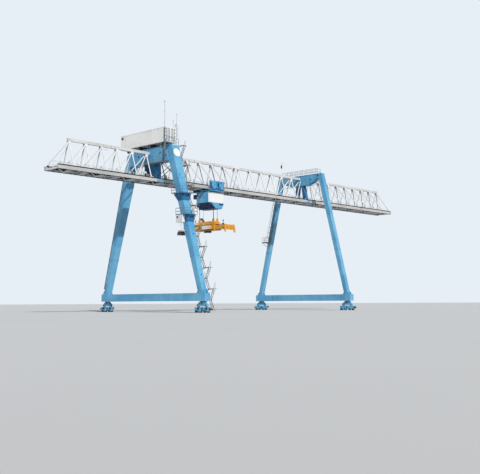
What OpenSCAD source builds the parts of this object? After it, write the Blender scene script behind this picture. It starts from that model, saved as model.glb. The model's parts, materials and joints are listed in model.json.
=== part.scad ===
// Rail-mounted double-cantilever container gantry crane, a 1:10 scale model.
// X runs along the girder, Y along the crane's rails and Z is up.
// The origin lies at ground level below the middle of the girder.

/* [Girder] */
// Distance between two panel points of the girder
bay = 318; // [300:2:350]
// Number of bays along the bottom chords
bays = 29; // [27:2:31]
// Extra length between the two frames of the splice at mid-span
splice = 100; // [80:5:120]
// Thickness of the plates that join the splice
splice_t = 5; // [4:0.5:7]
// Height of the bottom chords' centre above the ground
girder_z = 2280; // [2200:5:2350]
// Height from the bottom chords' centre to the top chord's centre
truss_h = 488; // [460:4:520]
// Distance between the centres of the two bottom chords
girder_w = 344; // [330:2:370]
// Width of a bottom chord
chord_w = 50; // [46:1:56]
// Height of a bottom chord
chord_h = 54; // [44:1:60]
// Width of the top chord
top_chord_w = 46; // [42:1:56]
// Height of the top chord
top_chord_h = 46; // [36:1:56]
// Diameter of a post of the side lattices
post_d = 20; // [16:1:22]
// Diameter of a diagonal of the side lattices
diagonal_d = 18; // [14:1:22]
// Diameter of a diagonal of the underside lattice
under_d = 14; // [10:1:18]
// Side of a cross member between the bottom chords
cross_s = 24; // [18:1:30]
// Width of a trolley rail
rail_w = 10; // [8:1:12]
// Height of a trolley rail
rail_h = 12; // [10:1:14]

/* [Walkway] */
// Width of the walkway inside the girder
walk_w = 90; // [80:2:110]
// Thickness of the walkway's deck
deck_t = 4; // [3:0.5:6]
// Height of the handrails
rail_top = 110; // [100:5:120]
// Thickness of a handrail tube
rail_t = 5; // [4:0.5:6]

/* [Fixed portal] */
// Panel point, counted from the first one of the top chord, that the fixed portal stands at
fixed_bay = 5.5; // [4.5:1:6.5]
// Top of the fixed portal's crossbeam above the ground
fixed_beam_top = 2850; // [2800:5:2900]
// Depth of the fixed portal's crossbeam
fixed_beam_h = 260; // [230:5:280]
// Width of the fixed portal's crossbeam along the girder
fixed_beam_w = 190; // [170:5:220]
// Distance of a fixed leg's centre from the girder's centre at the top
fixed_top_y = 516; // [500:4:560]
// Distance of a fixed leg's centre from the girder's centre at its foot
fixed_foot_y = 1265; // [1200:5:1300]
// Width of a fixed leg along the girder at its top
fixed_leg_top_w = 170; // [160:5:190]
// Width of a fixed leg along the girder at its foot
fixed_leg_foot_w = 105; // [90:5:120]
// Thickness of a fixed leg across the girder at its top
fixed_leg_top_t = 150; // [120:5:170]
// Thickness of a fixed leg across the girder at its foot
fixed_leg_foot_t = 105; // [85:5:115]

/* [Pendulum portal] */
// Panel point that the pendulum portal stands at
pendulum_bay = 18.1; // [17.9:0.1:18.6]
// Top of the pendulum portal's crossbeam above the ground
pendulum_beam_top = 2840; // [2800:5:2880]
// Depth of the pendulum portal's crossbeam at its middle
pendulum_beam_h = 225; // [200:5:240]
// Depth of the pendulum portal's crossbeam at its ends
pendulum_end_h = 85; // [80:5:120]
// Width of the pendulum portal's crossbeam along the girder
pendulum_beam_w = 110; // [100:5:130]
// Distance of a pendulum leg's centre from the girder's centre at the top
pendulum_top_y = 532; // [500:2:560]
// Distance of a pendulum leg's centre from the girder's centre at its foot
pendulum_foot_y = 1160; // [1120:5:1240]
// Width of a pendulum leg along the girder at its top
pendulum_leg_top_w = 100; // [90:5:120]
// Width of a pendulum leg along the girder at its foot
pendulum_leg_foot_w = 88; // [70:2:95]
// Thickness of a pendulum leg across the girder at its top
pendulum_leg_top_t = 100; // [90:5:120]
// Thickness of a pendulum leg across the girder at its foot
pendulum_leg_foot_t = 88; // [70:2:95]

/* [Sills and running gear] */
// Underside of the sill beams above the ground
sill_z = 190; // [185:5:220]
// Height of a sill beam
sill_h = 130; // [110:5:150]
// Width of a sill beam
sill_w = 120; // [112:2:130]
// Length of a sill beam past the centres of its outer bogies
sill_over = 15; // [0:5:40]
// Diameter of a crane wheel
wheel_d = 64; // [56:2:68]
// Width of a crane wheel
wheel_w = 20; // [16:1:24]
// Distance between the two wheels of a bogie
wheel_base = 84; // [76:2:90]
// Length of a bogie frame
bogie_l = 156; // [150:2:170]
// Distance between the centres of two bogies of a corner
bogie_pitch = 190; // [180:5:210]
// Thickness of a bogie's side plates
plate_t = 6; // [5:1:8]
// Height of the saddle that a bogie carries its equalizer beam on
saddle_h = 16; // [12:1:20]
// Clear height between a wheel's top and the top plate of its bogie
bogie_room = 18; // [14:1:24]
// Clearance of a bogie's side plates above the ground
frame_low = 20; // [14:1:26]
// Gap between a wheel and a side plate
wheel_gap = 3; // [2:0.5:4]
// Diameter of the wheel axles
axle_d = 14; // [12:1:18]
// Diameter of the buffers
buffer_d = 26; // [20:1:32]
// Length of a buffer with its stem
buffer_l = 26; // [20:1:34]
// Height of the buffers' centre above the ground
buffer_z = 56; // [50:1:62]

/* [Trolley] */
// Position of the trolley's centre along the girder
trolley_x = -1238; // [-1300:2:-1200]
// Length of the trolley's side frames at the top
trolley_l = 350; // [320:5:400]
// Thickness of the trolley's side frames
side_t = 24; // [20:1:30]
// Gap between a bottom chord and a side frame of the trolley
side_gap = 12; // [8:1:16]
// Gap under the bottom chords
under_gap = 8; // [6:1:14]
// Depth of the trolley's deck under the girder
deck_h = 26; // [20:1:36]
// Height of a wheel box above the chord
side_up = 105; // [90:5:130]
// Gap between the two wheel boxes of one side
box_gap = 12; // [8:1:20]
// Depth of the wheel boxes below the chord's top
box_low = 40; // [30:2:50]
// Diameter of a trolley wheel
trolley_wheel_d = 50; // [44:2:56]
// Outer radius of the slewing ring
ring_r = 150; // [130:5:170]
// Height of each half of the slewing ring
ring_h = 7; // [5:1:10]
// Length of the slewing machine house across the girder
house_l = 406; // [380:2:430]
// Width of the slewing machine house along the girder
house_w = 406; // [380:2:430]
// Height of the machine house's walls at the front
house_h = 196; // [180:4:210]
// Length of the chamfered rear part of the machine house
rear_l = 180; // [150:5:200]
// Width of the machine house at its rear end
rear_w = 240; // [200:5:280]
// Drop of the roof towards the rear end
roof_drop = 90; // [60:5:110]
// Height of the machine house's sloping underside
keel_h = 105; // [90:5:120]
// Width of the flat bottom of the underside
keel_w = 165; // [140:5:190]
// Distance of the flat bottom's middle from the slewing axis
keel_x = 68; // [50:2:90]
// Thickness of the panel on the front of the machine house
panel_t = 3; // [2:0.5:4]
// Width of the cabinet behind the machine house
cabinet_w = 140; // [120:5:160]
// Length of the cabinet behind the machine house
cabinet_l = 118; // [100:2:130]
// Height of the cabinet behind the machine house
cabinet_h = 80; // [76:2:96]

/* [Stair and platforms] */
// Number of flights of the stair
flights = 16; // [14:2:18]
// Height of the stair's foot above the ground
stair_low = 40; // [30:2:60]
// Width of a flight
stair_w = 48; // [42:2:56]
// Gap between the two lanes of flights
lane_gap = 6; // [4:1:8]
// Gap between the fixed portal's crossbeam and the stair along the girder
stair_gap = 14; // [10:1:20]
// Length of a flight across the girder
flight_run = 90; // [80:2:110]
// Depth of a landing past its flights
landing_l = 44; // [36:2:60]
// Number of treads of a flight
treads = 7; // [6:1:8]
// Depth of a tread
tread_d = 14; // [12:1:16]
// Thickness of treads and stringers
step_t = 2; // [1.5:0.5:3]
// Depth of a stringer
stringer_h = 18; // [14:1:22]
// Thickness of a platform
platform_t = 5; // [4:0.5:6]
// Height of the upper platform round the near fixed leg
upper_platform_z = 1990; // [1950:5:2020]
// Height of the lower platform round the near fixed leg
lower_platform_z = 1622; // [1600:2:1640]
// Reach of a leg platform towards the shorter cantilever
platform_x = 150; // [130:5:170]
// Reach of a leg platform past the leg's outer face
platform_out = 95; // [70:5:110]
// Reach of a leg platform past the leg's inner face
platform_in = 45; // [30:5:60]
// Clearance of a platform round its leg
platform_gap = 1; // [0.5:0.1:2]
// Length of the ladder on the far pendulum leg
ladder_l = 960; // [800:20:1100]
// Width of a ladder
ladder_w = 44; // [40:1:50]
// Diameter of a ladder's safety cage
cage_d = 72; // [66:2:80]
// Distance between two rungs
rung_pitch = 30; // [28:1:36]

/* [Spreader] */
// Underside of the twistlocks above the ground
spreader_z = 1447; // [1400:1:1480]
// Half the distance between the twistlocks along the container
lock_y = 549; // [520:1:590]
// Half the distance between the twistlocks across the container
lock_x = 113; // [100:1:115]
// Half the length of the spreader's main frame
frame_l = 250; // [240:1:262]
// Height of the main frame
frame_h = 100; // [84:1:106]
// Width of one telescopic beam
beam_w = 34; // [30:1:38]
// Height of one telescopic beam
beam_h = 70; // [60:1:76]
// Length of a telescopic beam
beam_l = 490; // [470:1:500]
// Height of the main frame above the twistlocks' undersides
frame_up = 50; // [46:1:60]
// Wall of the main frame round the telescopic beams
frame_wall = 7; // [6:0.5:9]
// Clearance between a telescopic beam and the main frame
slide_gap = 0.5; // [0.3:0.1:1]
// Diameter of the hoist ropes
rope_d = 4; // [3:0.5:6]
// Half the distance between the hoist ropes along the girder
rope_x = 50; // [40:1:60]
// Half the distance between the hoist ropes across the girder
rope_y = 186; // [170:1:196]
// Gap between the main frame and the headblock
head_gap = 12; // [8:1:16]
// Height of the headblock
head_h = 52; // [44:1:60]
// Height of the sheave brackets above the headblock
sheave_up = 46; // [38:1:56]
// Length of a guide flap below the spreader's end beam
flap_l = 46; // [36:2:60]

/* [Hidden] */

blue = [0.36, 0.66, 0.86];
grey = [0.78, 0.80, 0.82];
white = [0.88, 0.89, 0.88];
yellow = [0.90, 0.60, 0.13];
dark = [0.25, 0.27, 0.30];

seat = 0.3;
chord_top = girder_z + chord_h / 2;
chord_bottom = girder_z - chord_h / 2;
top_chord_z = girder_z + truss_h;
web_top = top_chord_z - top_chord_h / 2;
mid_bay = round((fixed_bay + pendulum_bay) / 2);
girder_l = bays * bay + splice;
web_foot_y = girder_w / 2 - post_d * 0.6;
web_head_y = post_d * 0.6;
fixed_x = node_x(fixed_bay);
pendulum_x = node_x(pendulum_bay);
sill_top = sill_z + sill_h;
rail_inset = 3;
rail_y = girder_w / 2 + chord_w / 2 - rail_w / 2 - rail_inset;
rail_top_z = chord_top + rail_h;
cross_z = chord_bottom + 3;
walk_z = cross_z + cross_s;
deck_top = chord_bottom - under_gap;
deck_bottom = deck_top - deck_h;
side_y = girder_w / 2 + chord_w / 2 + side_gap;
house_top = deck_bottom - 2 * ring_h - seat;
wall_bottom = house_top - house_h;
keel_bottom = wall_bottom - keel_h;
rise = (fixed_beam_top + platform_t - stair_low) / flights;
lean = (fixed_foot_y - fixed_top_y) / (fixed_beam_top - sill_top);
drift = lean * rise;
stair_x = max(fixed_beam_w, fixed_leg_top_w) / 2 + stair_gap;
lane_pitch = stair_w + lane_gap;

// Place along X of a panel point; the first one of the top chord is 0
function node_x(k) = (k - (bays - 2) / 2) * bay + (k <= mid_bay ? -1 : 1) * splice / 2;
// Way that the diagonal at a top panel point leads down, 0 where there is none
function brace(k) = k < fixed_bay ? -1 : k < mid_bay ? 1 : k == mid_bay ? 0 : k < pendulum_bay ? -1 : 1;
// Distance of a fixed leg's centre from the girder's centre at height z
function leg_y(z) = slope(z, sill_top, fixed_foot_y, fixed_beam_top, fixed_top_y);
// Thickness of a fixed leg across the girder at height z
function leg_t(z) = slope(z, sill_top, fixed_leg_foot_t, fixed_beam_top, fixed_leg_top_t);
// Width of a fixed leg along the girder at height z
function leg_w(z) = slope(z, sill_top, fixed_leg_foot_w, fixed_beam_top, fixed_leg_top_w);
// Height of the stair's level n above the ground
function level_z(n) = stair_low + n * rise;
// Distance from the girder's centre at which the flight that starts at level n begins
function level_y(n) = leg_y(stair_low) + flight_run / 2 - (n % 2) * flight_run - n * drift;
// Point of a side lattice's plane at height share t above the bottom chord
function web_point(x, side, t) = [x, side * (web_foot_y + (web_head_y - web_foot_y) * t),
                                  chord_top + (web_top - chord_top) * t];
// Value at height z on a line from v0 at z0 to v1 at z1
function slope(z, z0, v0, z1, v1) = v0 + (v1 - v0) * (z - z0) / (z1 - z0);

// Straight bar of few sides between two points
module bar(p, q, d) {
    v = q - p;
    translate(p)
        rotate([0, acos(v.z / norm(v)), atan2(v.y, v.x)])
            cylinder(d = d, h = norm(v), $fn = 8);
}

// Box given by its low corner and its high corner
module block(low, high) {
    translate(low) cube(high - low);
}

// Box that stands symmetrically on X and Y
module centred(size, z) {
    translate([-size.x / 2, -size.y / 2, z]) cube(size);
}

module top_chord() {
    color(grey)
        for (run = [[node_x(0) - top_chord_h / 2, fixed_x - fixed_beam_w / 2],
                    [fixed_x + fixed_beam_w / 2, pendulum_x - pendulum_beam_w / 2],
                    [pendulum_x + pendulum_beam_w / 2, node_x(bays - 2) + top_chord_h / 2]])
            block([run[0], -top_chord_w / 2, web_top], [run[1], top_chord_w / 2, web_top + top_chord_h]);
}

module bottom_chords() {
    color(grey)
        for (side = [-1, 1])
            translate([0, side * girder_w / 2, 0])
                block([-girder_l / 2, -chord_w / 2, chord_bottom], [girder_l / 2, chord_w / 2, chord_top]);
}

// Place along X of the bottom panel point that the diagonal at top panel point k leads to
function foot_x(k) = node_x(k + brace(k)) + (k > mid_bay && k + brace(k) <= mid_bay ? splice : 0);

// Post of a side lattice, longer than the gap between the chords
module post(x, side) {
    bar(web_point(x, side, -0.05), web_point(x, side, 1.05), post_d);
}

// Whether a post at x would stand in the pendulum portal's hanger
function in_portal(x) = abs(x - pendulum_x) < (pendulum_beam_w + post_d) / 2 + seat;

// Posts and diagonals of one side, cut level with the chords' faces; the splice has two frames
module side_lattice(side) {
    color(grey)
        difference() {
            lattice_bars(side);
            translate([pendulum_x, 0, 0])
                centred([pendulum_beam_w + 2 * seat, girder_w, pendulum_beam_h + seat],
                        pendulum_beam_top - pendulum_beam_h - seat);
        }
}

module lattice_bars(side) {
    intersection() {
        union() {
            post(node_x(mid_bay) + splice, side);
            for (k = [0 : bays - 2]) {
                if (!in_portal(node_x(k))) post(node_x(k), side);
                if (brace(k) != 0) {
                    foot = web_point(foot_x(k), side, 0);
                    head = web_point(node_x(k), side, 1);
                    bar(foot - (head - foot) * 0.04, head + (head - foot) * 0.04, diagonal_d);
                }
            }
        }
        block([-girder_l / 2, -girder_w, chord_top], [girder_l / 2, girder_w, web_top]);
    }
}

module side_lattice_near() {
    side_lattice(-1);
}

module side_lattice_far() {
    side_lattice(1);
}

// Cross members at the panel points, with one diagonal to a bay
module underside_lattice() {
    inner = girder_w / 2 - chord_w / 2;
    z = cross_z;
    color(grey)
        intersection() {
            union() {
                for (x = concat([node_x(mid_bay) + splice], [for (k = [-1 : bays - 1]) node_x(k)]))
                    translate([min(max(x, cross_s / 2 - girder_l / 2), girder_l / 2 - cross_s / 2), 0, 0])
                        centred([cross_s, girder_w, cross_s], z);
                for (k = [-1 : bays - 2]) {
                    lead = (k + 1) % 2 == 0 ? 1 : -1;
                    a = [node_x(k) + (k == mid_bay ? splice : 0), -lead * inner, z + cross_s / 2];
                    b = [node_x(k + 1), lead * inner, z + cross_s / 2];
                    bar(a, b, under_d);
                }
            }
            block([-girder_l / 2, -inner, 0], [girder_l / 2, inner, chord_top]);
        }
}

// Plates that join the two halves of the girder at mid-span
module splice_plates() {
    x = node_x(mid_bay) + splice / 2;
    inner = girder_w / 2 - chord_w / 2;
    color(grey)
        for (side = [-1, 1]) {
            translate([x, side * (top_chord_w + splice_t) / 2, 0])
                centred([splice + post_d, splice_t, top_chord_h - 8], web_top + 4);
            translate([x, side * (inner - splice_t / 2), 0])
                centred([splice - cross_s - 2, splice_t, chord_h - 12], chord_bottom + 6);
        }
}

module trolley_rails() {
    color(dark)
        for (side = [-1, 1])
            translate([0, side * rail_y, 0])
                block([-girder_l / 2, -rail_w / 2, chord_top], [girder_l / 2, rail_w / 2, rail_top_z]);
}

module walkway_deck() {
    color(grey)
        block([-girder_l / 2, -walk_w / 2, walk_z], [girder_l / 2, walk_w / 2, walk_z + deck_t]);
}

module walkway_handrails() {
    z = walk_z + deck_t;
    color(grey)
        for (side = [-1, 1])
            translate([0, side * (walk_w - rail_t) / 2, z]) {
                for (level = [0.5, 1])
                    block([-girder_l / 2, -rail_t / 2, rail_top * level - rail_t],
                          [girder_l / 2, rail_t / 2, rail_top * level]);
                for (k = [0 : 2 * bays])
                    translate([(k - bays) * (girder_l - rail_t) / (2 * bays), 0, 0])
                        block([-rail_t / 2, -rail_t / 2, 0], [rail_t / 2, rail_t / 2, rail_top]);
            }
}

// Sloping box leg; its faces taper along both ways
module leg(side, top, top_y, foot_y, top_w, foot_w, top_t, foot_t) {
    color(blue)
        intersection() {
            rotate([90, 0, 90])
                linear_extrude(height = 2 * top_w, center = true)
                    polygon([[side * (foot_y - foot_t / 2), sill_top],
                             [side * (foot_y + foot_t / 2), sill_top],
                             [side * (top_y + top_t / 2), top], [side * (top_y - top_t / 2), top]]);
            rotate([90, 0, 0])
                linear_extrude(height = 3 * foot_y, center = true)
                    polygon([[-foot_w / 2, sill_top], [foot_w / 2, sill_top],
                             [top_w / 2, top], [-top_w / 2, top]]);
        }
}

module fixed_leg(side) {
    translate([fixed_x, 0, 0])
        leg(side, fixed_beam_top, fixed_top_y, fixed_foot_y, fixed_leg_top_w, fixed_leg_foot_w,
            fixed_leg_top_t, fixed_leg_foot_t);
}

module fixed_leg_near() {
    fixed_leg(-1);
}

module fixed_leg_far() {
    fixed_leg(1);
}

// Inner face of a fixed leg at height z
function fixed_inner(z) = slope(z, sill_top, fixed_foot_y - fixed_leg_foot_t / 2,
                                fixed_beam_top, fixed_top_y - fixed_leg_top_t / 2);
// Inner face of a pendulum leg at height z
function pendulum_inner(z) = slope(z, sill_top, pendulum_foot_y - pendulum_leg_foot_t / 2,
                                   pendulum_beam_top, pendulum_top_y - pendulum_leg_top_t / 2);

module fixed_crossbeam() {
    z = fixed_beam_top - fixed_beam_h;
    color(blue)
        translate([fixed_x, 0, 0])
            rotate([90, 0, 90])
                linear_extrude(height = fixed_beam_w, center = true)
                    polygon([[-fixed_inner(z), z], [fixed_inner(z), z],
                             [fixed_inner(fixed_beam_top), fixed_beam_top],
                             [-fixed_inner(fixed_beam_top), fixed_beam_top]]);
}

// Two tapered boxes that carry the bottom chords from a crossbeam
module hanger_pair(x, beam_bottom, top_w, foot_w, top_in, top_out) {
    foot_in = girder_w / 2 - chord_w - 50;
    foot_out = girder_w / 2;
    translate([x, 0, 0])
        for (side = [-1, 1])
            intersection() {
                rotate([90, 0, 90])
                    linear_extrude(height = 2 * top_w, center = true)
                        polygon([[side * foot_in, chord_top], [side * top_in, beam_bottom],
                                 [side * top_out, beam_bottom], [side * foot_out, chord_top]]);
                rotate([90, 0, 0])
                    linear_extrude(height = 2 * girder_w, center = true)
                        polygon([[-foot_w / 2, chord_top], [foot_w / 2, chord_top],
                                 [top_w / 2, beam_bottom], [-top_w / 2, beam_bottom]]);
            }
}

module hangers() {
    color(blue) {
        hanger_pair(fixed_x, fixed_beam_top - fixed_beam_h, fixed_beam_w + 50, 90, 42, 80);
        hanger_pair(pendulum_x, pendulum_beam_top - pendulum_beam_h, pendulum_beam_w, 60, 46, 90);
    }
}

module pendulum_leg(side) {
    translate([pendulum_x, 0, 0])
        leg(side, pendulum_beam_top, pendulum_top_y, pendulum_foot_y, pendulum_leg_top_w,
            pendulum_leg_foot_w, pendulum_leg_top_t, pendulum_leg_foot_t);
}

module pendulum_leg_near() {
    pendulum_leg(-1);
}

module pendulum_leg_far() {
    pendulum_leg(1);
}

// Deep in the middle third and shallow at the legs
module pendulum_crossbeam() {
    low = pendulum_beam_top - pendulum_beam_h;
    high = pendulum_beam_top - pendulum_end_h;
    flat = girder_w / 2 + chord_w;
    color(blue)
        translate([pendulum_x, 0, 0])
            rotate([90, 0, 90])
                linear_extrude(height = pendulum_beam_w, center = true)
                    polygon([[-flat, low], [flat, low], [pendulum_inner(high), high],
                             [pendulum_inner(pendulum_beam_top), pendulum_beam_top],
                             [-pendulum_inner(pendulum_beam_top), pendulum_beam_top],
                             [-pendulum_inner(high), high]]);
}

module sills() {
    color(blue)
        for (portal = portals)
            translate([portal[0], 0, 0])
                centred([sill_w, 2 * (portal[1] + sill_reach), sill_h], sill_z);
}

// Puts its children at the four corners where a leg stands
module corners() {
    for (portal = portals, side = [-1, 1])
        translate([portal[0], side * portal[1], 0]) children();
}

portals = [[fixed_x, fixed_foot_y], [pendulum_x, pendulum_foot_y]];
sill_reach = bogie_pitch / 2 + sill_over;
top_plate_t = 8;
equalizer_l = bogie_pitch + 44;
equalizer_w = 44;
equalizer_end_h = 22;
equalizer_seat = 80;
bogie_top = wheel_d + bogie_room + top_plate_t;
bogie_in = wheel_w / 2 + wheel_gap;

// Rocking beam that shares a corner's load between its two bogies
module equalizer_beams() {
    z = bogie_top + saddle_h;
    color(blue)
        corners() {
            rotate([90, 0, 90])
                linear_extrude(height = equalizer_w, center = true)
                    polygon([[-equalizer_l / 2, z], [equalizer_l / 2, z],
                             [equalizer_l / 2, z + equalizer_end_h], [equalizer_seat / 2, sill_z],
                             [-equalizer_seat / 2, sill_z], [-equalizer_l / 2, z + equalizer_end_h]]);
        }
}

// Two side plates and a top plate round two wheels, with a saddle on top
module bogie_frames() {
    color(blue)
        corners()
            for (part = [-1, 1])
                translate([0, part * bogie_pitch / 2, 0])
                    difference() {
                        union() {
                            for (s = [-1, 1])
                                translate([s * (bogie_in + plate_t / 2), 0, 0])
                                    centred([plate_t, bogie_l, bogie_top - frame_low], frame_low);
                            centred([2 * bogie_in + plate_t, bogie_l, top_plate_t],
                                    bogie_top - top_plate_t);
                            centred([2 * bogie_in, 40, saddle_h], bogie_top);
                        }
                        for (w = [-1, 1])
                            translate([0, w * wheel_base / 2, wheel_d / 2])
                                rotate([0, 90, 0])
                                    cylinder(d = axle_d + 2 * seat, h = 100, center = true, $fn = 48);
                    }
}

module crane_wheels() {
    color(dark)
        corners()
            for (part = [-1, 1], w = [-1, 1])
                translate([0, part * bogie_pitch / 2 + w * wheel_base / 2, wheel_d / 2])
                    rotate([0, 90, 0]) {
                        cylinder(d = wheel_d, h = wheel_w, center = true, $fn = 64);
                        cylinder(d = axle_d, h = 2 * (bogie_in + plate_t + 2), center = true, $fn = 48);
                    }
}

module buffers() {
    color(dark)
        for (portal = portals, side = [-1, 1])
            translate([portal[0], side * (portal[1] + bogie_pitch / 2 + bogie_l / 2), buffer_z])
                rotate([-side * 90, 0, 0])
                    for (s = [-1, 1])
                        translate([s * (bogie_in + plate_t / 2), 0, 0]) {
                            cylinder(d = buffer_d * 0.6, h = buffer_l / 2, $fn = 32);
                            translate([0, 0, buffer_l / 2])
                                cylinder(d = buffer_d, h = buffer_l / 2, $fn = 32);
                        }
}

room_l = 1219;
room_w = 244;
room_h = 259;
room_y = 141;
support_h = 66;
support_pitch = 310;

module house_supports() {
    color(dark)
        for (i = [-1.5 : 1 : 1.5])
            translate([fixed_x, room_y - 40 + i * support_pitch, 0])
                centred([room_w - 20, 30, support_h], fixed_beam_top);
}

// Container-size room for the drives, with framed walls and a recessed double door
module electrical_house() {
    frame = 16;
    depth = 3;
    color(white)
        translate([fixed_x, room_y, fixed_beam_top + support_h])
            difference() {
                centred([room_w, room_l, room_h], 0);
                for (s = [-1, 1]) {
                    translate([s * room_w / 2, 0, 0])
                        centred([2 * depth, room_l - 2 * frame, room_h - 2 * frame], frame);
                    for (door = [-1, 1])
                        translate([door * (room_w - frame) / 4, s * room_l / 2, 0])
                            centred([(room_w - 3 * frame) / 2, 2 * depth, room_h - 2 * frame], frame);
                }
            }
}

// Railing along a straight edge from p to q, with posts at most 150 apart
module railing(p, q) {
    v = q - p;
    n = ceil(norm(v) / 150);
    translate(p)
        rotate([0, 0, atan2(v.y, v.x)]) {
            for (level = [0.5, 1])
                translate([-rail_t / 2, -rail_t / 2, rail_top * level - rail_t])
                    cube([norm(v) + rail_t, rail_t, rail_t]);
            for (i = [0 : n])
                translate([i * norm(v) / n - rail_t / 2, -rail_t / 2, 0])
                    cube([rail_t, rail_t, rail_top]);
        }
}

leg_platforms = [upper_platform_z, lower_platform_z];
beam_end_y = fixed_top_y + fixed_leg_top_t / 2;
porch_in = room_l / 2 - room_y + 4;
porch_x = fixed_beam_w / 2 + 22;

// Outer and inner edge of a leg platform across the girder
function platform_edge(z) = [leg_y(z) - leg_t(z) / 2 - platform_in, leg_y(z) + leg_t(z) / 2 + platform_out];

// Platforms round the near fixed leg and on the crossbeams
module platforms() {
    color(blue)
        translate([fixed_x, 0, 0]) {
            for (z = leg_platforms) {
                edge = platform_edge(z);
                difference() {
                    block([-platform_x, -edge[1], z], [stair_x - lane_gap, -edge[0], z + platform_t]);
                    block([-leg_w(z + platform_t) / 2 - platform_gap,
                           -leg_y(z) - leg_t(z) / 2 - platform_gap, z - 1],
                          [leg_w(z + platform_t) / 2 + platform_gap,
                           -leg_y(z + platform_t) + leg_t(z) / 2 + platform_gap, z + platform_t + 1]);
                }
                for (s = [-1, 1])
                    platform_bracket(z, s);
            }
            block([-porch_x, -level_y(flights), fixed_beam_top],
                  [stair_x + stair_w, -porch_in, fixed_beam_top + platform_t]);
        }
}

// Triangular plate under a leg platform, against the leg's face towards the shorter cantilever
module platform_bracket(z, s) {
    low = z - 70;
    translate([0, -leg_y(z - 35) + s * leg_t(z) / 4, 0])
        rotate([90, 0, 0])
            linear_extrude(height = platform_t, center = true)
                polygon([[-leg_w(z) / 2 - seat, z], [-platform_x + 10, z], [-platform_x + 10, z - 8],
                         [-leg_w(low) / 2 - seat, low]]);
}

module platform_handrails() {
    inset = rail_t / 2;
    color(grey)
        translate([fixed_x, 0, platform_t]) {
            for (z = leg_platforms) {
                edge = platform_edge(z);
                x = [-platform_x + inset, stair_x - lane_gap - inset];
                railing([x[0], -edge[1] + inset, z], [x[1], -edge[1] + inset, z]);
                railing([x[0], -edge[1] + inset, z], [x[0], -edge[0] - inset, z]);
                railing([x[0], -edge[0] - inset, z], [x[1], -edge[0] - inset, z]);
            }
            railing([-porch_x + inset, -level_y(flights) + inset, fixed_beam_top],
                    [-porch_x + inset, -porch_in - inset, fixed_beam_top]);
            railing([-porch_x + inset, -level_y(flights) + inset, fixed_beam_top],
                    [stair_x - inset, -level_y(flights) + inset, fixed_beam_top]);
        }
    color(grey)
        for (s = [-1, 1])
            railing([pendulum_x + s * (pendulum_beam_w / 2 - rail_t),
                     -pendulum_inner(pendulum_beam_top) + rail_t,
                     pendulum_beam_top],
                    [pendulum_x + s * (pendulum_beam_w / 2 - rail_t),
                     pendulum_inner(pendulum_beam_top) - rail_t,
                     pendulum_beam_top]);
}

// Lane that the flight starting at level n climbs in
function lane_x(n) = stair_x + (n % 2) * lane_pitch;

// Landing at level n: each lane's part starts where its flight ends
module landing(n) {
    out = n % 2 == 0 ? 1 : -1;
    start = level_y(n);
    far = out > 0 ? start + drift + landing_l : start - landing_l;
    arrive = start + drift;
    depart = start;
    z = level_z(n) - platform_t;
    for (part = [[lane_x(n), depart], [lane_x(n - 1), arrive]])
        block([part[0], -max(far, part[1]), z], [part[0] + stair_w, -min(far, part[1]), z + platform_t]);
    block([stair_x, -max(far, far - out * landing_l / 2), z],
          [stair_x + 2 * stair_w + lane_gap, -min(far, far - out * landing_l / 2), z + platform_t]);
}

// Landings with the arms that hold them to the leg
module stair_landings() {
    color(grey)
        translate([fixed_x, 0, 0])
            for (n = [1 : flights]) {
                landing(n);
                if (n < flights)
                    landing_arm(n);
            }
}

// Half the width of what carries a landing arm at height z: the sill, the leg or the crossbeam
function arm_face(z) = z < sill_top ? sill_w / 2
                                    : z > fixed_beam_top - fixed_beam_h - 12 ? fixed_beam_w / 2
                                                                             : leg_w(z) / 2;

// Arm from the leg's face out under a landing's end
module landing_arm(n) {
    out = n % 2 == 0 ? 1 : -1;
    far = out > 0 ? level_y(n) + drift + landing_l : level_y(n) - landing_l;
    z = level_z(n) - platform_t - 10;
    on_leg = leg_y(z) + out * leg_t(z) / 4;
    face = arm_face(z) + 1;
    near_end = far - out * 8;
    inner_end = far - out * 18;
    block([face - 1 + seat, -max(on_leg, near_end), z], [face + 8, -min(on_leg, near_end), z + 10]);
    block([face, -max(near_end, inner_end), z], [stair_x + 30, -min(near_end, inner_end), z + 10]);
}

// Profile across the girder of a strip that follows the flight from level n, raised by low and high
module flight_strip(n, low, high) {
    out = n % 2 == 0 ? -1 : 1;
    a = level_y(n);
    b = a + out * flight_run;
    polygon([[-a, level_z(n) + low], [-b, level_z(n + 1) + low], [-b, level_z(n + 1) + high],
             [-a, level_z(n) + high]]);
}

// Sheet of the flight from level n, in the plane at x
module flight_sheet(x) {
    translate([x, 0, 0])
        rotate([90, 0, 90])
            linear_extrude(height = step_t)
                children();
}

module stair_stringers() {
    color(grey)
        translate([fixed_x, 0, 0])
            for (n = [0 : flights - 1], edge = [0, stair_w - step_t])
                flight_sheet(lane_x(n) + edge)
                    flight_strip(n, -platform_t - seat - stringer_h, -platform_t - seat);
}

module stair_treads() {
    color(grey)
        translate([fixed_x, 0, 0])
            for (n = [0 : flights - 1], i = [1 : treads]) {
                out = n % 2 == 0 ? -1 : 1;
                y = level_y(n) + out * flight_run * i / (treads + 1);
                z = level_z(n) + rise * i / (treads + 1) - platform_t - stringer_h / 2 - 4;
                translate([lane_x(n) + step_t + seat, -y - tread_d / 2, z])
                    cube([stair_w - 2 * step_t - 2 * seat, tread_d, step_t]);
            }
}

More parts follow.
